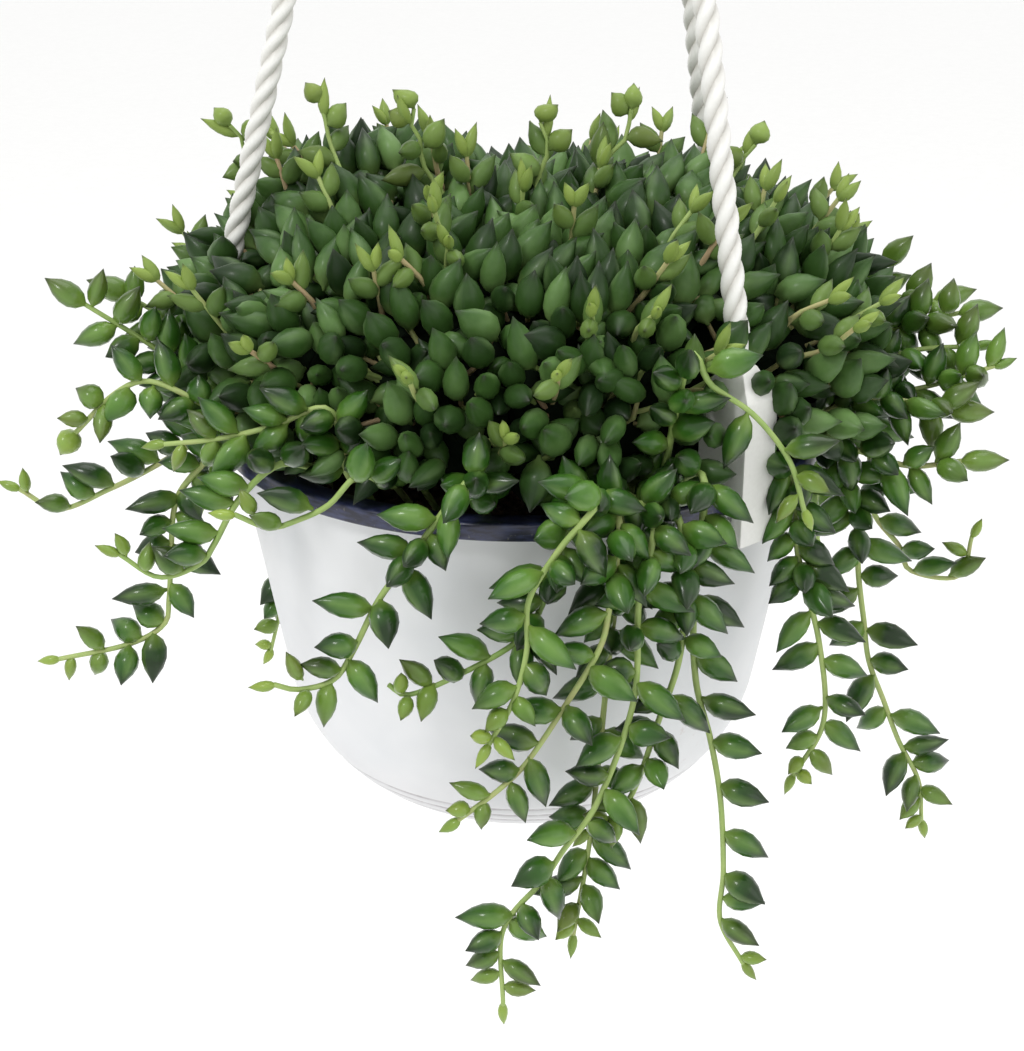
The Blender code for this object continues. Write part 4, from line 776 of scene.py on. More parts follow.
# picture points, reach at the start and at the end, and the side of the leaves (0 for both)
strandWays = {
    "strand_left_1": ([(205, 385), (150, 345), (85, 305)], (0.036, 0.040), 0),
    "strand_left_2": ([(198, 402), (150, 382), (115, 395), (75, 435)], (0.056, 0.052), 0),
    "strand_left_3": ([(330, 410), (270, 428), (215, 440), (165, 445)], (0.077, 0.066), 0),
    "strand_left_4": ([(200, 440), (150, 470), (110, 490), (60, 510), (20, 490)], (0.024, 0.016), -1),
    "strand_left_5": ([(235, 435), (190, 480), (175, 510), (172, 560), (170, 600), (165, 625), (130, 645),
                       (60, 660)], (0.041, 0.040), 0),
    "strand_left_6": ([(280, 465), (240, 500), (215, 545), (200, 565), (160, 578), (120, 555)],
                      (0.078, 0.074), -1),
    "strand_left_7": ([(360, 475), (330, 505), (300, 520), (270, 528), (235, 515)], (0.092, 0.092), -1),
    "strand_front_1": ([(470, 480), (410, 560), (380, 600), (355, 650), (335, 680), (300, 690), (275, 685)],
                       (0.100, 0.105), 0),
    "strand_front_2": ([(570, 520), (545, 600), (520, 640), (460, 675), (410, 695), (390, 685)],
                       (0.098, 0.102), 0),
    "strand_front_3": ([(600, 500), (560, 550), (530, 600), (528, 650), (515, 700), (490, 745)],
                       (0.114, 0.120), 0),
    "strand_front_4": ([(620, 520), (610, 610), (600, 650), (570, 700), (530, 760), (500, 790), (460, 820)],
                       (0.107, 0.112), 0),
    "strand_front_5": ([(655, 520), (640, 600), (635, 700), (600, 800), (565, 850), (545, 880), (505, 930),
                        (505, 1005)], (0.104, 0.104), 0),
    "strand_front_6": ([(625, 525), (612, 640), (600, 760), (590, 850), (575, 935)], (0.093, 0.090), 0),
    "strand_front_7": ([(680, 520), (685, 600), (680, 660), (660, 720), (630, 800), (590, 830)],
                       (0.096, 0.094), 0),
    "strand_front_8": ([(705, 480), (695, 600), (697, 680), (712, 740), (722, 800), (725, 870), (722, 920),
                        (745, 963)], (0.088, 0.086), 1),
    "strand_front_9": ([(690, 358), (712, 385), (755, 415), (790, 460), (805, 510)], (0.088, 0.080), 0),
    "strand_right_1": ([(790, 470), (800, 560), (820, 640), (825, 720), (795, 775)], (0.066, 0.060), 0),
    "strand_right_2": ([(850, 480), (860, 580), (865, 620), (870, 660), (885, 700), (900, 740), (920, 780),
                        (923, 820)], (0.036, 0.030), 0),
    "strand_right_3": ([(866, 425), (872, 505), (900, 545), (912, 570), (960, 575), (973, 535)],
                       (0.010, 0.010), 1),
    "strand_right_4": ([(860, 450), (910, 465), (963, 460)], (0.044, 0.040), 0),
    "strand_right_5": ([(850, 400), (930, 385), (995, 365)], (0.022, 0.022), 0),
    "strand_right_6": ([(830, 350), (900, 325), (960, 312)], (0.004, 0.004), 0),
    "strand_right_7": ([(815, 352), (858, 310), (885, 265)], (-0.022, -0.022), 0),
    "strand_right_8": ([(858, 398), (905, 400), (950, 410)], (0.034, 0.034), 0),
    "strand_right_9": ([(852, 372), (912, 350), (975, 345)], (0.012, 0.012), 0),
    "strand_right_10": ([(832, 330), (890, 300), (935, 300)], (-0.012, -0.012), 0),
    "strand_left_8": ([(205, 365), (165, 320), (130, 298)], (0.020, 0.022), 0),
}
# far side: azimuth, length below the rim and sideways drift in degrees
farStrands = {
    "strand_back_1": (112.0, 0.070, 6.0), "strand_back_2": (145.0, 0.115, -8.0),
    "strand_back_3": (163.0, 0.055, 10.0), "strand_back_4": (182.0, 0.130, 6.0),
    "strand_back_5": (203.0, 0.085, -10.0), "strand_back_6": (224.0, 0.120, 8.0),
    "strand_back_7": (246.0, 0.060, 6.0),
}


def rootPoints(azimuth, ring):
    sizes = strandSizes
    level, top, crest = soilSizes["level"], nurserySizes["lipTop"], sizes["crestRing"]
    return [aroundPot(azimuth, ring, level - sizes["holeDepth"] + 0.0003),
            aroundPot(azimuth, ring, level + sizes["collar"]),
            aroundPot(azimuth, (ring + crest) / 2.0, top + 0.0030),
            aroundPot(azimuth, crest, top + sizes["crestRise"])]


def strandPaths():
    paths = {}
    for index, (name, (way, (start, end), side)) in enumerate(strandWays.items()):
        last = len(way) - 1
        seen = [fromPicture(point, start + (end - start) * step / last) for step, point in enumerate(way)]
        azimuth = math.degrees(math.atan2(seen[0].x, -seen[0].y))
        points = rootPoints(azimuth, rootRings[index % len(rootRings)]) + seen
        paths[name] = ([points[0]] + smoothPath(points[1:], strandSizes["step"]), side, False)
    for index, (name, (azimuth, drop, drift)) in enumerate(farStrands.items()):
        hang = [aroundPot(azimuth + drift * part * part, 0.096 + 0.016 * part,
                          nurserySizes["lipTop"] + 0.004 - drop * part)
                for part in (0.08, 0.35, 0.62, 0.85, 1.0)]
        points = rootPoints(azimuth, rootRings[index % 2]) + hang
        paths[name] = ([points[0]] + smoothPath(points[1:], strandSizes["step"]), 0, True)
    return paths


def addStrandLeaves(path, side, farSide, full, bushy, leaves):
    # more leaves in the gaps, alternate, smaller towards the growing tip. A way is -1 or 1 for
    # the two sides of the stem and 0 for leaves that face forward, near the rim only.
    sizes = strandSizes
    added = []
    lengths = lengthsAlong(path)
    turn = 1
    for index in range(sizes["firstPoint"], len(path) - 1):
        if lengths[index] < sizes["firstLeaf"]:
            continue
        turn = -turn
        point = path[index]
        ahead = (path[index + 1] - path[index]).normalized()
        front = Vector((point.x, point.y, 0.0)).normalized() if farSide else Vector((0.0, -1.0, 0.15))
        right = front.cross(ahead).normalized()
        away = lengths[-1] - lengths[index]
        growth = min(1.0, (sizes["smallestFull"] if full else sizes["smallest"]) + away / sizes["growth"])
        dense = lengths[index] < sizes["denseTo"]
        room = sizes["leafRoom"] if dense else sizes["looseRoom"]
        if away < sizes["tipLength"]:
            room = sizes["tipRoom"]
        ways = (side, side) if side else (turn, -turn)
        if bushy and dense:
            ways += (0,)
        for way in ways:
            if any((leaf["base"] - point).length < room
                   and (leaf["axis"].dot(right * way) > 0.0 if way else leaf["axis"].dot(front) > 0.75)
                   for leaf in leaves + added):
                continue
            tilt = scatter(0.25)
            axis = (right * way * 0.8 + ahead * chance.uniform(0.2, 0.8)
                    + front * (chance.uniform(-0.25, 0.75) if way else 1.0) + tilt).normalized()
            leaf = newLeaf(point, axis, sizes["leafLength"] * growth * chance.uniform(0.72, 1.02),
                           sizes["leafWidth"] * growth * chance.uniform(0.80, 1.02), 0.5, 0.24)
            if not hidesPaddle(leaf) and fits(leaf, sizes["ease"]):
                takeRoom(leaf)
                added.append(leaf)
    return added


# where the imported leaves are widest, from the neck, and how far crown leaves are turned, in degrees
packedLeaves = {"strandBelly": 0.44, "crownBelly": 0.40, "crownTurn": (6.0, 36.0)}
paths = strandPaths()
strandLeaves = {name: leavesOfNode(name, packedLeaves["strandBelly"]) for name in paths}
crownLeaves = {name: leavesOfNode(name, packedLeaves["crownBelly"])
               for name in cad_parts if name.startswith("crown_")}
for leaf in [leaf for found in crownLeaves.values() for leaf in found]:
    # turned about its middle, because crown leaves grow on twigs that lie at all angles
    middle = alongLeaf(leaf, 0.5)
    across = turnedAcross(leaf["axis"])
    turn = math.radians(chance.uniform(*packedLeaves["crownTurn"]))
    leaf["axis"].rotate(Matrix.Rotation(turn, 3, across))
    leaf["base"] = middle - leaf["axis"] * leaf["length"] * 0.5
for leaf in [leaf for group in (strandLeaves, crownLeaves) for found in group.values() for leaf in found]:
    takeRoom(leaf)
print("leaves read:", sum(map(len, strandLeaves.values())), "on strands,",
      sum(map(len, crownLeaves.values())), "in the crown")

for name, (path, side, farSide) in paths.items():
    leaves = strandLeaves[name]
    full = name in fullEnds
    if name in beadyStrands:
        for leaf in leaves:
            longest, leaf["width"] = strandSizes["beadSize"]
            leaf["length"] = min(leaf["length"], longest)
    for leaf in leaves:
        leaf["width"] *= strandSizes["plump"]
        if full and leaf["length"] < strandSizes["fullSize"][0]:
            larger = dict(leaf, length=strandSizes["fullSize"][0], width=strandSizes["fullSize"][1])
            if insideBox(larger):
                leaf.update(larger)
    bushy = not name.startswith("strand_left")
    leaves = leaves + addStrandLeaves(path, side, farSide, full, bushy, leaves)
    for leaf in leaves:
        away = (leaf["base"] - path[-1]).length
        leaf["youth"] = (max(0.0, 1.0 - away / strandSizes["youngTo"]) * chance.uniform(0.5, 0.9)
                         * (0.35 if full else 1.0))
        spin = scatter(0.7)
        outward = Vector((leaf["base"].x, leaf["base"].y, 0.0)).normalized()
        leaf["facing"] = ((outward if farSide else Vector((0.0, -1.0, 0.2))) + spin).normalized()
    radii = taperedRadii(path, strandSizes["stemRadius"], strandSizes["stemRadius"] * strandSizes["thinnest"])
    stems = [(path, radii, chance.uniform(0.1, 0.6))]
    addPiece(name + "_fine", growPiece(name + "_fine", leaves, stems, strandLeaf), [name])
print("strands grown")


# Crown bunches: leaves on stems that fan out from each bunch's root, over a near-black inner mass of painted
# shade

crownSizes = {"leafLength": 0.0146, "leafWidth": 0.0084, "longest": (0.0150, 0.0175),
              "widest": (0.0088, 0.0100), "narrowest": 0.0074, "slimmer": 0.84,
              "stemRadii": (0.00104, 0.00064), "rootRadius": 0.00198, "rootRing": 0.52,
              "rootGap": 0.0012, "rootRise": 0.0115, "centre": Vector((0.0, 0.0, -0.030)),
              "domeLeft": 0.098, "domeRight": 0.103, "domeDepth": 0.085, "domeFoot": 0.0125,
              "domeRise": 0.045, "domePower": 3.0,
              "humps": (((-0.048, 0.020), 0.024, 0.017), ((0.050, 0.018), 0.022, 0.008)),
              "hollow": 0.55, "floor": 0.0092, "lowest": 0.009, "coreDepth": 0.0070, "tries": 900,
              "spread": 0.55, "lowestWay": 0.30, "scatter": 1.15, "ease": 0.68, "armRoom": 0.0065,
              "footRoom": 0.0115, "footTo": 0.042}
# young shoots that stand out of the crown. Each leaf: how far up, side, length, width, lean, youth
tipSizes = {"count": 4, "tries": 60, "lowest": 0.012, "sunk": 0.004, "height": (0.015, 0.024),
            "spread": 0.45, "lowestWay": 0.35, "scatter": 0.35, "ease": 0.55, "stem": 0.0009,
            "thinning": 0.0003,
            "leaves": ((0.50, 1, 0.0115, 0.0056, 0.8, 0.12), (0.66, -1, 0.0105, 0.0050, 0.8, 0.25),
                       (0.95, 1, 0.0098, 0.0034, 0.30, 0.60), (0.97, -1, 0.0088, 0.0030, 0.30, 0.75))}
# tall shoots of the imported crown. Each added leaf: how far up, outward share, width, youth
shootSizes = {"rise": 0.0050, "joint": 0.017, "stem": (0.0010, 0.0006), "leaf": (0.0140, 0.0066),
              "added": ((0.62, 0.7, 0.0058, 0.15), (0.80, 0.7, 0.0058, 0.15), (0.99, 0.2, 0.0036, 0.7))}


def crownPlaces():
    # azimuth, distance from the axis and height of each bunch's middle
    places = {"crown_top": (0.0, 0.0, 0.060)}
    for index in range(5):
        places[f"crown_upper_{index + 1}"] = (15.0 + 72.0 * index, 0.051, 0.053)
    for index, azimuth in enumerate((-112.0, -58.0, -20.0, 15.0, 68.0, 101.0, 155.0, 200.0)):
        places[f"crown_outer_{index + 1}"] = (azimuth, 0.081, 0.031)
    return places


def domeRise(place):
    # height of the dome's top above its foot, with its two humps
    rise = crownSizes["domeRise"]
    for (x, y), spread, extra in crownSizes["humps"]:
        rise += extra * math.exp(-((place.x - x) ** 2 + (place.y - y) ** 2) / (2.0 * spread ** 2))
    return rise


def domeReach(way):
    # from the dome's centre to its surface along a direction, by halving
    sizes = crownSizes
    near, far = 0.03, 0.15
    for _ in range(20):
        reach = (near + far) / 2.0
        place = sizes["centre"] + way * reach
        out = math.hypot(place.x / (sizes["domeRight"] if place.x > 0.0 else sizes["domeLeft"]),
                         place.y / sizes["domeDepth"])
        up = max(0.0, place.z - sizes["domeFoot"]) / domeRise(place)
        if out ** sizes["domePower"] + up ** sizes["domePower"] < 1.0:
            near = reach
        else:
            far = reach
    return near


def aboveDome(place):
    offset = place - crownSizes["centre"]
    return offset.length - domeReach(offset.normalized())


def nearArm(place):
    # the arms' lines, which leaves stay clear of
    for azimuth in hangerSizes["azimuths"].values():
        foot, top = armEnds(azimuth, 0.0)
        along = (top - foot).normalized()
        room = crownSizes["footRoom"] if place.z < crownSizes["footTo"] else crownSizes["armRoom"]
        if (place - foot - along * max(0.0, (place - foot).dot(along))).length < room:
            return True
    return False


bunchSeeds = {name: (aroundPot(*place) - crownSizes["centre"]).normalized()
              for name, place in crownPlaces().items()}


def wayInBunch(seed, most, lowest):
    # a random direction that belongs to the bunch, or none
    way = (seed + scatter(most)).normalized()
    if way.z < lowest or max(bunchSeeds.values(), key=way.dot).dot(way) > seed.dot(way) + 1e-6:
        return None
    return way


def scatteredLeaves(seed):
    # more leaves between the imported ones, lower and at more angles, over the bunch's share
    sizes = crownSizes
    added = []
    for _ in range(sizes["tries"]):
        way = wayInBunch(seed, sizes["spread"], sizes["lowestWay"])
        if way is None:
            continue
        base = sizes["centre"] + way * (domeReach(way) - chance.uniform(-0.0015, sizes["coreDepth"] + 0.002))
        rise = max(-0.9, min(0.7, (way.z - 0.62) * 6.0))
        upward = (Vector((0.0, 0.0, 1.0)) - way * way.z) * rise
        axis = (way + upward * 0.5 + scatter(sizes["scatter"])).normalized()
        leaf = newLeaf(base, axis, sizes["leafLength"] * chance.uniform(0.70, 1.1),
                       sizes["leafWidth"] * chance.uniform(0.80, 1.10), 0.45, 0.30)
        if (base.z < sizes["lowest"] or nearArm(alongLeaf(leaf, 0.5)) or nearArm(alongLeaf(leaf, 1.0))
                or hidesPaddle(leaf)):
            continue
        if fits(leaf, sizes["ease"]):
            takeRoom(leaf)
            added.append(leaf)
    return added


def growingTips(seed, stems):
    # a pinkish stem, two small leaves and two narrow ones at its end
    sizes = tipSizes
    young = []
    count = 0
    for _ in range(sizes["tries"]):
        way = wayInBunch(seed, sizes["spread"], sizes["lowestWay"])
        if way is None:
            continue
        base = crownSizes["centre"] + way * (domeReach(way) - sizes["sunk"])
        aim = (way + Vector((0.0, 0.0, 0.35)) + scatter(sizes["scatter"])).normalized()
        tall = chance.uniform(*sizes["height"])
        top = base + aim * tall
        if base.z < sizes["lowest"] or nearArm(top) or nearArm(base):
            continue
        across = turnedAcross(aim)
        fresh = [newLeaf(base + aim * tall * up, (aim + across * turn * lean).normalized(),
                         length * chance.uniform(0.9, 1.15), width * 1.1, 0.7, youth=youth)
                 for up, turn, length, width, lean, youth in sizes["leaves"]]
        if not all(insideBox(leaf) and hasRoom(leaf, sizes["ease"]) for leaf in fresh):
            continue
        for leaf in fresh:
            takeRoom(leaf)
        young += fresh
        bend = across.cross(aim) * chance.uniform(-0.002, 0.002)
        path = smoothPath([base, base.lerp(top, 0.5) + bend, top], 0.004)
        radii = [sizes["stem"] - sizes["thinning"] * step / len(path) for step in range(len(path))]
        stems.append((path, radii, chance.uniform(0.35, 1.0)))
        count += 1
        if count == sizes["count"]:
            break
    return young


def tallShoots(leaves, hub, stems):
    # leaves well above the dome sit on a few tall shoots: one stem runs past their bases
    sizes = shootSizes
    grown = []
    left = sorted(leaves, key=lambda leaf: leaf["base"].z)
    while left:
        chain = [left.pop(0)]
        for leaf in left[:]:
            if (leaf["base"] - chain[-1]["base"]).length < sizes["joint"]:
                chain.append(leaf)
                left.remove(leaf)
        bases = [hub] + [leaf["base"] for leaf in chain]
        path = smoothPath(bases, 0.005) if len(chain) > 1 else bases
        stems.append((path, taperedRadii(path, *sizes["stem"]), 0.35))
        for index, leaf in enumerate(chain):
            leaf["youth"] = 0.10 + 0.5 * (index + 1) / len(chain)
            leaf["length"], leaf["width"] = map(min, sizes["leaf"], (leaf["length"], leaf["width"]))
        grown += chain
        for part, outward, width, youth in sizes["added"]:
            way = (path[-1] - path[0]).normalized()
            side = turnedAcross(way)
            grown.append(newLeaf(path[int((len(path) - 1) * part)], (way * 0.7 + side * outward).normalized(),
                                 chance.uniform(0.0095, 0.0130), width, 0.6, youth=youth))
    return grown


def growBunch(name, place, leaves):
    sizes = crownSizes
    azimuth, out, height = place
    seed = bunchSeeds[name]
    deep = max(domeReach(seed) * sizes["hollow"], (sizes["floor"] - sizes["centre"].z) / seed.z)
    hub = sizes["centre"] + seed * (deep * 0.6 + domeReach(seed) * 0.4)
    root = aroundPot(azimuth, out * sizes["rootRing"],
                     soilSizes["level"] - strandSizes["holeDepth"] + sizes["rootGap"])
    straight = root + Vector((0.0, 0.0, sizes["rootRise"]))
    rootPath = [root] + smoothPath([straight, hub], 0.008)
    stems = [(rootPath, [sizes["rootRadius"]] * len(rootPath), 0.9)]
    for leaf in leaves:
        longest = min(leaf["length"], chance.uniform(*sizes["longest"]))
        leaf["base"] = leaf["base"] + leaf["axis"] * (leaf["length"] - longest) * 0.5
        leaf["length"] = longest
        leaf["width"] = min(chance.uniform(*sizes["widest"]),
                            max(sizes["narrowest"], leaf["width"] * sizes["slimmer"]))
    tall = [leaf for leaf in leaves if aboveDome(leaf["base"]) > shootSizes["rise"]]
    leaves = [leaf for leaf in leaves if aboveDome(leaf["base"]) <= shootSizes["rise"]]
    young = tallShoots(tall, hub, stems) + growingTips(seed, stems)
    added = scatteredLeaves(seed)
    for leaf in young:
        leaf["facing"] = -(leaf["base"] - sizes["centre"]).normalized()
    for leaf in leaves + added:
        leaf["facing"] = (leaf["base"] - sizes["centre"]).normalized() * 0.4 + scatter(1.0)
        low = leaf["base"].lerp(hub, 0.5) + scatter(0.004)
        path = smoothPath([hub, low, leaf["base"], alongLeaf(leaf, 0.12)], 0.010)
        stems.append((path, taperedRadii(path, *sizes["stemRadii"]), chance.uniform(0.2, 1.1)))
    return growPiece(name + "_fine", leaves + young + added, stems, crownLeaf, bunchCore(name))


def bunchCore(name):
    # the imported bunch drawn in below its leaves: a near-black mass of painted shade in their gaps
    bm = mergedNode(name)
    middle = rimMiddle + crownSizes["centre"]
    for vert in bm.verts:
        way = (vert.co - middle).normalized()
        deepest = domeReach(way) - crownSizes["coreDepth"]
        if (vert.co - middle).length > deepest:
            vert.co = middle + way * deepest
    mesh = bpy.data.meshes.new(name + "Core")
    bm.to_mesh(mesh)
    bm.free()
    return newObject(name + "Core", mesh)


for name, place in crownPlaces().items():
    addPiece(name + "_fine", growBunch(name, place, crownLeaves[name]), [name])
print("crown grown")


# White cover pot: the CAD profile with a rounded bead and fine rings round its foot

def coverProfile():
    sizes = coverSizes
    centre = (sizes["baseRadius"], sizes["baseRound"] - sizes["depth"])
    outside = []
    steps = 80
    for step in range(steps + 1):
        angle = -90.0 + (90.0 - sizes["taper"]) * step / steps
        dip = sum(math.exp(-((angle - groove) / sizes["grooveWidth"]) ** 2)
                  for groove in sizes["grooveAngles"])
        radius = sizes["baseRound"] - sizes["grooveDepth"] * dip
        outside.append((centre[0] + radius * math.cos(math.radians(angle)),
                        centre[1] + radius * math.sin(math.radians(angle))))
    tangent = outside[-1]
    slope = math.tan(math.radians(sizes["taper"]))
    wallTop = tangent[0] + (-sizes["beadHeight"] - tangent[1]) * slope
    bead = [(wallTop, -sizes["beadHeight"]), (wallTop + 0.0004, -sizes["beadHeight"] + 0.0001)]
    bead += arcPoints((sizes["beadRadius"] - 0.0012, -0.0030), 0.0012, -60.0, 0.0, 5)
    bead += arcPoints((sizes["beadRadius"] - 0.0013, -0.0013), 0.0013, 0.0, 90.0, 6)
    innerTop = tangent[0] - tangent[1] * slope - sizes["wall"]
    inside = arcPoints(centre, sizes["baseRound"] - sizes["wall"], -sizes["taper"], -90.0, 24)
    return ([(0.0, -sizes["depth"])] + outside + bead + [(innerTop, 0.0)] + inside
            + [(0.0, sizes["wall"] - sizes["depth"])])


addPiece("outer_pot_fine", turnedMesh("outer_pot_fine", coverProfile(), coverSizes["steps"]),
         ["outer_pot"], whitePot)


# Nursery pot: rolled lip over the white rim, thin wall, drain holes in its floor

def nurseryInner(height):
    sizes = nurserySizes
    return sizes["radius"] - sizes["wall"] + height * math.tan(math.radians(sizes["taper"]))


def nurseryMesh():
    sizes = nurserySizes
    gap, lip, top = sizes["gap"], sizes["lipRadius"], sizes["lipTop"]
    bottom = sizes["radius"] - sizes["depth"] * math.tan(math.radians(sizes["taper"]))
    floor = sizes["wall"] - sizes["depth"]
    skirtLow = top - sizes["skirt"]
    bead = coverSizes["beadRadius"] + gap
    profile = [(0.0, -sizes["depth"]), (bottom - 0.001, -sizes["depth"]), (bottom, -sizes["depth"] + 0.001),
               (sizes["radius"] - 0.0002, -0.001), (sizes["radius"], gap), (bead - gap * 0.4, gap),
               (bead, 0.0), (bead, skirtLow + 0.0003)]
    profile += arcPoints((lip - 0.0006, skirtLow + 0.0006), 0.0006, -80.0, 0.0, 5)
    profile += arcPoints((lip - 0.0011, top - 0.0011), 0.0011, 0.0, 80.0, 7)
    profile += [(0.0868, top - 0.0001), (0.0848, top - 0.0003), (nurseryInner(top) + 0.0010, top - 0.0002),
                (nurseryInner(top) + 0.0002, top - 0.0006), (nurseryInner(-0.001), -0.001),
                (nurseryInner(floor), floor), (0.0, floor)]
    pot = newObject("nurseryBlank", turnedMesh("nursery_pot_fine", profile, sizes["steps"]))
    bm = bmesh.new()
    for index in range(sizes["drainHoles"]):
        middle = aroundPot(360.0 * index / sizes["drainHoles"] + 30.0, sizes["drainRing"],
                           sizes["wall"] / 2.0 - sizes["depth"])
        bmesh.ops.create_cone(bm, cap_ends=True, segments=20, radius1=sizes["drainRadius"],
                              radius2=sizes["drainRadius"], depth=sizes["wall"] * 4.0,
                              matrix=Matrix.Translation(middle))
    cutter = newObject("drainCutter", meshOf(bm, "drainCutter"))
    cut = pot.modifiers.new("cut", "BOOLEAN")
    cut.operation = "DIFFERENCE"
    cut.object = cutter
    result = plainMesh(pot)
    bpy.data.objects.remove(cutter)
    return smoothed(result)


addPiece("nursery_pot_fine", nurseryMesh(), ["nursery_pot"], navyPot)


# Potting soil: a crumbly top with bits of bark and peat scattered on it

def soilMesh():
    sizes = soilSizes
    level, gap = sizes["level"], nurserySizes["gap"]
    bottom = nurserySizes["wall"] - nurserySizes["depth"] + gap
    edge = nurseryInner(level) - gap
    rise = sizes["crown"] * 0.8
    profile = [(0.0, bottom), (nurseryInner(bottom) - gap, bottom)]
    rings = 20
    for step in range(rings):
        share = 1.0 - step / rings
        wave = math.sin(step * 2.1) * 0.00025
        profile.append((edge * share, level + rise * (1.0 - share ** 2) + wave))
    profile.append((0.0, level + rise))
    mesh = turnedMesh("potting_soil_fine", profile, sizes["steps"])
    bm = bmesh.new()
    bm.from_mesh(mesh)
    for vert in bm.verts:
        place = vert.co - rimMiddle
        out = math.hypot(place.x, place.y)
        if place.z > level - 0.001 and 0.0 < out < edge - 0.001:
            vert.co.z += 0.0004 * math.sin(place.x * 900.0 + 1.7 * math.sin(place.y * 700.0))
            vert.co.z += 0.0003 * math.sin(place.y * 1300.0)
    for _ in range(sizes["crumbs"]):
        size = chance.uniform(*sizes["crumbSize"])
        spot = aroundPot(chance.uniform(0.0, 360.0), (edge - 0.003) * math.sqrt(chance.random()),
                         level + 0.0012)
        turn = Matrix.Rotation(chance.uniform(0.0, 6.28), 4, Vector((chance.random(), chance.random(), 1.0)))
        stretch = Matrix.Diagonal((chance.uniform(0.5, 1.5), chance.uniform(0.5, 1.2), 0.7, 1.0))
        bmesh.ops.create_icosphere(bm, subdivisions=1, radius=size,
                                   matrix=Matrix.Translation(spot + rimMiddle) @ turn @ stretch)
    bm.to_mesh(mesh)
    bm.free()
    return mesh


addPiece("potting_soil_fine", soilMesh(), ["potting_soil"], soilMix)
print("pots and soil made")


# Hanger: three moulded arms twisted like rope, their clip feet, and the hook

def twistTree():
    # a bar of three rope-like lobes along a line, turned evenly with its length
    tree = bpy.data.node_groups.new("twistedBar", "GeometryNodeTree")
    given = newSockets(tree, (
        ("Geometry", "Geometry", None), ("Radius", "Float", 0.0033), ("Pitch", "Float", 0.025),
        ("Rings", "Int", 300), ("Sides", "Int", 30), ("Groove", "Float", 0.29),
        ("Plastic", "Material", None)))
    line = addNode(tree, "GeometryNodeMeshToCurve", {}, {"Mesh": given["Geometry"]})
    fine = addNode(tree, "GeometryNodeResampleCurve", {}, {"Curve": line, "Count": given["Rings"]})
    travel = addNode(tree, "GeometryNodeSplineParameter").outputs["Length"]
    turns = addNode(tree, "ShaderNodeMath", {"operation": "DIVIDE"}, {0: travel, 1: given["Pitch"]})
    angle = addNode(tree, "ShaderNodeMath", {"operation": "MULTIPLY", 1: math.tau}, {0: turns})
    tilted = addNode(tree, "GeometryNodeSetCurveTilt", {}, {"Curve": fine, "Tilt": angle})
    ring = addNode(tree, "GeometryNodeCurvePrimitiveCircle", {"Radius": 1.0}, {"Resolution": given["Sides"]})
    spot = addNode(tree, "GeometryNodeInputPosition")
    share = addNode(tree, "GeometryNodeSplineParameter").outputs["Factor"]
    lobes = addNode(tree, "ShaderNodeMath", {"operation": "MULTIPLY", 1: math.pi * 3.0}, {0: share})
    wave = addNode(tree, "ShaderNodeMath", {"operation": "SINE"}, {0: lobes})
    bulge = addNode(tree, "ShaderNodeMath", {"operation": "ABSOLUTE"}, {0: wave})
    dip = addNode(tree, "ShaderNodeMath", {"operation": "SUBTRACT", 0: 1.0}, {1: bulge})
    depth = addNode(tree, "ShaderNodeMath", {"operation": "MULTIPLY"}, {0: dip, 1: given["Groove"]})
    reach = addNode(tree, "ShaderNodeMath", {"operation": "SUBTRACT", 0: 1.0}, {1: depth})
    wide = addNode(tree, "ShaderNodeMath", {"operation": "MULTIPLY"}, {0: reach, 1: given["Radius"]})
    shaped = addNode(tree, "ShaderNodeVectorMath", {"operation": "SCALE"}, {0: spot, "Scale": wide})
    outline = addNode(tree, "GeometryNodeSetPosition", {}, {"Geometry": ring, "Position": shaped})
    # groove depth, which the hanger plastic reads for its painted shade in the grooves
    grooved = addNode(tree, "GeometryNodeStoreNamedAttribute", {"data_type": "FLOAT", "Name": "groove"},
                      {"Geometry": outline, "Value": dip})
    bar = addNode(tree, "GeometryNodeCurveToMesh", {"Fill Caps": True},
                  {"Curve": tilted, "Profile Curve": grooved})
    solid = addNode(tree, "GeometryNodeRealizeInstances", {}, {"Geometry": bar})
    skin = addNode(tree, "GeometryNodeSetMaterial", {}, {"Geometry": solid, "Material": given["Plastic"]})
    addNode(tree, "NodeGroupOutput", {}, {"Geometry": skin})
    return tree


twistedBar = twistTree()


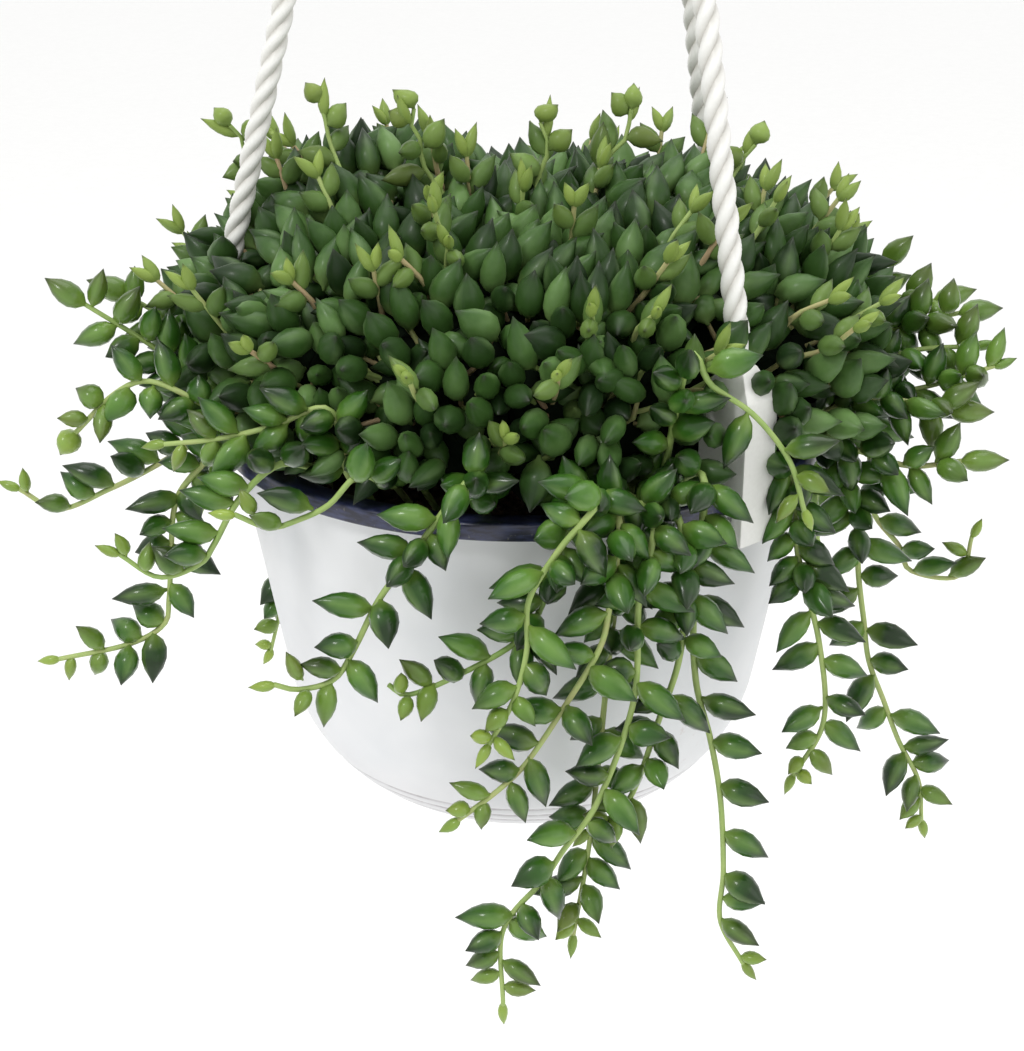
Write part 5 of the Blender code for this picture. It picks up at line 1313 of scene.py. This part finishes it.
def footInto(bm, azimuth):
    # inverted U over both rims with a claw under the white bead, and its hipped top
    sizes = hangerSizes
    ring, width, top = sizes["footRing"], sizes["footWidth"], sizes["footTop"]
    part = bmesh.new()
    inner = ring - sizes["footDepth"] / 2.0
    outer = ring + sizes["footDepth"] / 2.0
    legBottom = soilSizes["level"] + 0.006
    legOut = nurseryInner(0.0) - sizes["footPlay"]
    slotOuter = outer - sizes["footWall"]
    slotTop = nurserySizes["lipTop"] + nurserySizes["gap"]
    clawTop = -nurserySizes["skirt"] - nurserySizes["gap"]
    claw = slotOuter - sizes["footClaw"]
    outline = [(inner, legBottom), (nurseryInner(legBottom) - sizes["footPlay"], legBottom), (legOut, 0.0),
               (legOut, slotTop), (slotOuter, slotTop), (slotOuter, clawTop), (claw, clawTop - 0.0004),
               (claw, clawTop - 0.0020), (slotOuter, clawTop - 0.0050), (outer, clawTop - 0.0062),
               (outer, sizes["shoulder"]), (ring + sizes["armRadius"], top),
               (ring - sizes["armRadius"], top), (inner, sizes["shoulder"])]
    face = part.faces.new([part.verts.new((radius, -width / 2.0, height)) for radius, height in outline])
    made = bmesh.ops.extrude_face_region(part, geom=[face])
    far = [item for item in made["geom"] if isinstance(item, bmesh.types.BMVert)]
    bmesh.ops.translate(part, verts=far, vec=(0.0, width, 0.0))
    bmesh.ops.recalc_face_normals(part, faces=part.faces[:])
    for vert in part.verts:
        if vert.co.z > top - 1e-5:
            vert.co.y *= sizes["topWidth"] / width
    bmesh.ops.bevel(part, geom=part.edges[:], offset=sizes["bevel"], segments=2, profile=0.5,
                    affect="EDGES", clamp_overlap=True)
    part.transform(Matrix.Rotation(math.radians(azimuth - 90.0), 4, "Z"))
    spare = bpy.data.meshes.new("footSpare")
    part.to_mesh(spare)
    part.free()
    bm.from_mesh(spare)
    bpy.data.meshes.remove(spare)


def armMesh(name, azimuth):
    sizes = hangerSizes
    foot, top = armEnds(azimuth)
    rise = (top - foot).normalized()
    ropeStart = foot + rise * 0.008
    line = bpy.data.meshes.new(name + "Line")
    line.from_pydata([tuple(ropeStart + rimMiddle), tuple(top - rise * 0.0015 + rimMiddle)], [(0, 1)], [])
    bm = bmesh.new()
    bm.from_mesh(grownMesh(name + "Line", line, twistedBar, {
        "Radius": sizes["armRadius"], "Pitch": sizes["pitch"], "Plastic": hangerWhite}))
    bm.transform(Matrix.Translation(-rimMiddle))
    footInto(bm, azimuth)
    neck = [foot - Vector((0.0, 0.0, 0.004)), foot, foot + rise * 0.004, ropeStart + rise * 0.002]
    tubeInto(bm, neck, [sizes["neck"]] * 4, 16)
    tubeInto(bm, [top - rise * 0.003, top + rise * 0.006], [sizes["neck"] * 0.8] * 2, 16)
    return meshOf(bm, name, 32.0)


def hookMesh():
    sizes = hangerSizes
    wire, beside, radius = sizes["hookWire"], Vector((sizes["hookSide"], 0.0, 0.0)), sizes["hubRadius"]
    low, high = sizes["hubBottom"], sizes["hubBottom"] + sizes["hubHeight"]
    profile = [(0.0, low), (radius - 0.001, low)]
    profile += arcPoints((radius - 0.001, low + 0.001), 0.001, -70.0, 0.0, 4)
    profile += arcPoints((radius - 0.0012, low + 0.0082), 0.0012, 0.0, 55.0, 4)
    profile += [(0.0052, high - 0.0006), (0.0046, high), (0.0, high)]
    bm = bmesh.new()
    bm.from_mesh(turnedMesh("hubBlank", profile, 48))
    bm.transform(Matrix.Translation(beside - rimMiddle))
    bend = beside + Vector((0.0, 0.0, sizes["hangDrop"] + wire - sizes["hookBend"]))
    path = [beside + Vector((0.0, 0.0, height)) for height in (high - 0.003, high + 0.002)]
    steps = 56
    for step in range(steps + 1):
        angle = math.radians(-90.0 + 285.0 * step / steps)
        path.append(bend + Vector((math.cos(angle), 0.0, math.sin(angle))) * sizes["hookBend"])
    radii = [wire] * (len(path) - 4) + [wire * part for part in (0.98, 0.9, 0.72, 0.4)]
    tubeInto(bm, path, radii, 20)
    return meshOf(bm, "hanger_hook_fine", 32.0)


for side, azimuth in hangerSizes["azimuths"].items():
    name = "hanger_arm_" + side
    addPiece(name + "_fine", armMesh(name + "_fine", azimuth), [name], hangerWhite)
addPiece("hanger_hook_fine", hookMesh(), ["hanger_hook"], hangerWhite)
print("hanger made")


# Studio: pale floor well below the hanging pot, soft light from the upper left and right

studio = {"floorDrop": 0.55, "floorSize": 14.0, "floorColour": "#fdfdfc", "fibreColour": "#fbfbfa",
          "world": 0.99,
          "lights": (("keyLight", (-0.7, -0.9, 1.2), 0.36, 9.0), ("fillLight", (1.4, -0.9, 0.5), 1.2, 4.5),
                     ("topLight", (0.1, 0.3, 1.6), 1.2, 11.0))}
bm = bmesh.new()
bmesh.ops.create_grid(bm, x_segments=4, y_segments=4, size=studio["floorSize"] / 2.0)
floor = newObject("studioFloor", meshOf(
    bm, "studioFloor", place=Vector((0.0, 0.0, cadBox[0][2] - studio["floorDrop"]))))
# matt white paper with the faintest uneven fibre
paper, tree, shader, place = newMaterial("paleStudioPaper")
fibre = addNode(tree, "ShaderNodeTexNoise", {"Scale": 60.0}, {"Vector": place})
tone = addNode(tree, "ShaderNodeValToRGB", {"stops": [(0.3, studio["fibreColour"]),
                                                      (0.7, studio["floorColour"])]}, {"Fac": fibre})
fillNode(shader, {"Roughness": 0.9}, {"Base Color": tone})
floor.data.materials.append(paper)
for name, place, size, power in studio["lights"]:
    data = bpy.data.lights.new(name, "AREA")
    data.size = size
    data.energy = power
    light = newObject(name, data)
    light.location = Vector(place) + rimMiddle
    light.rotation_euler = (-Vector(place)).to_track_quat("-Z", "Y").to_euler()
world = bpy.data.worlds.new("paleStudio")
bpy.context.scene.world = world
world.use_nodes = True
fillNode(world.node_tree.nodes["Background"], {"Color": "#ffffff", "Strength": studio["world"]})
bpy.context.scene.view_settings.view_transform = "Standard"
print("studio set")
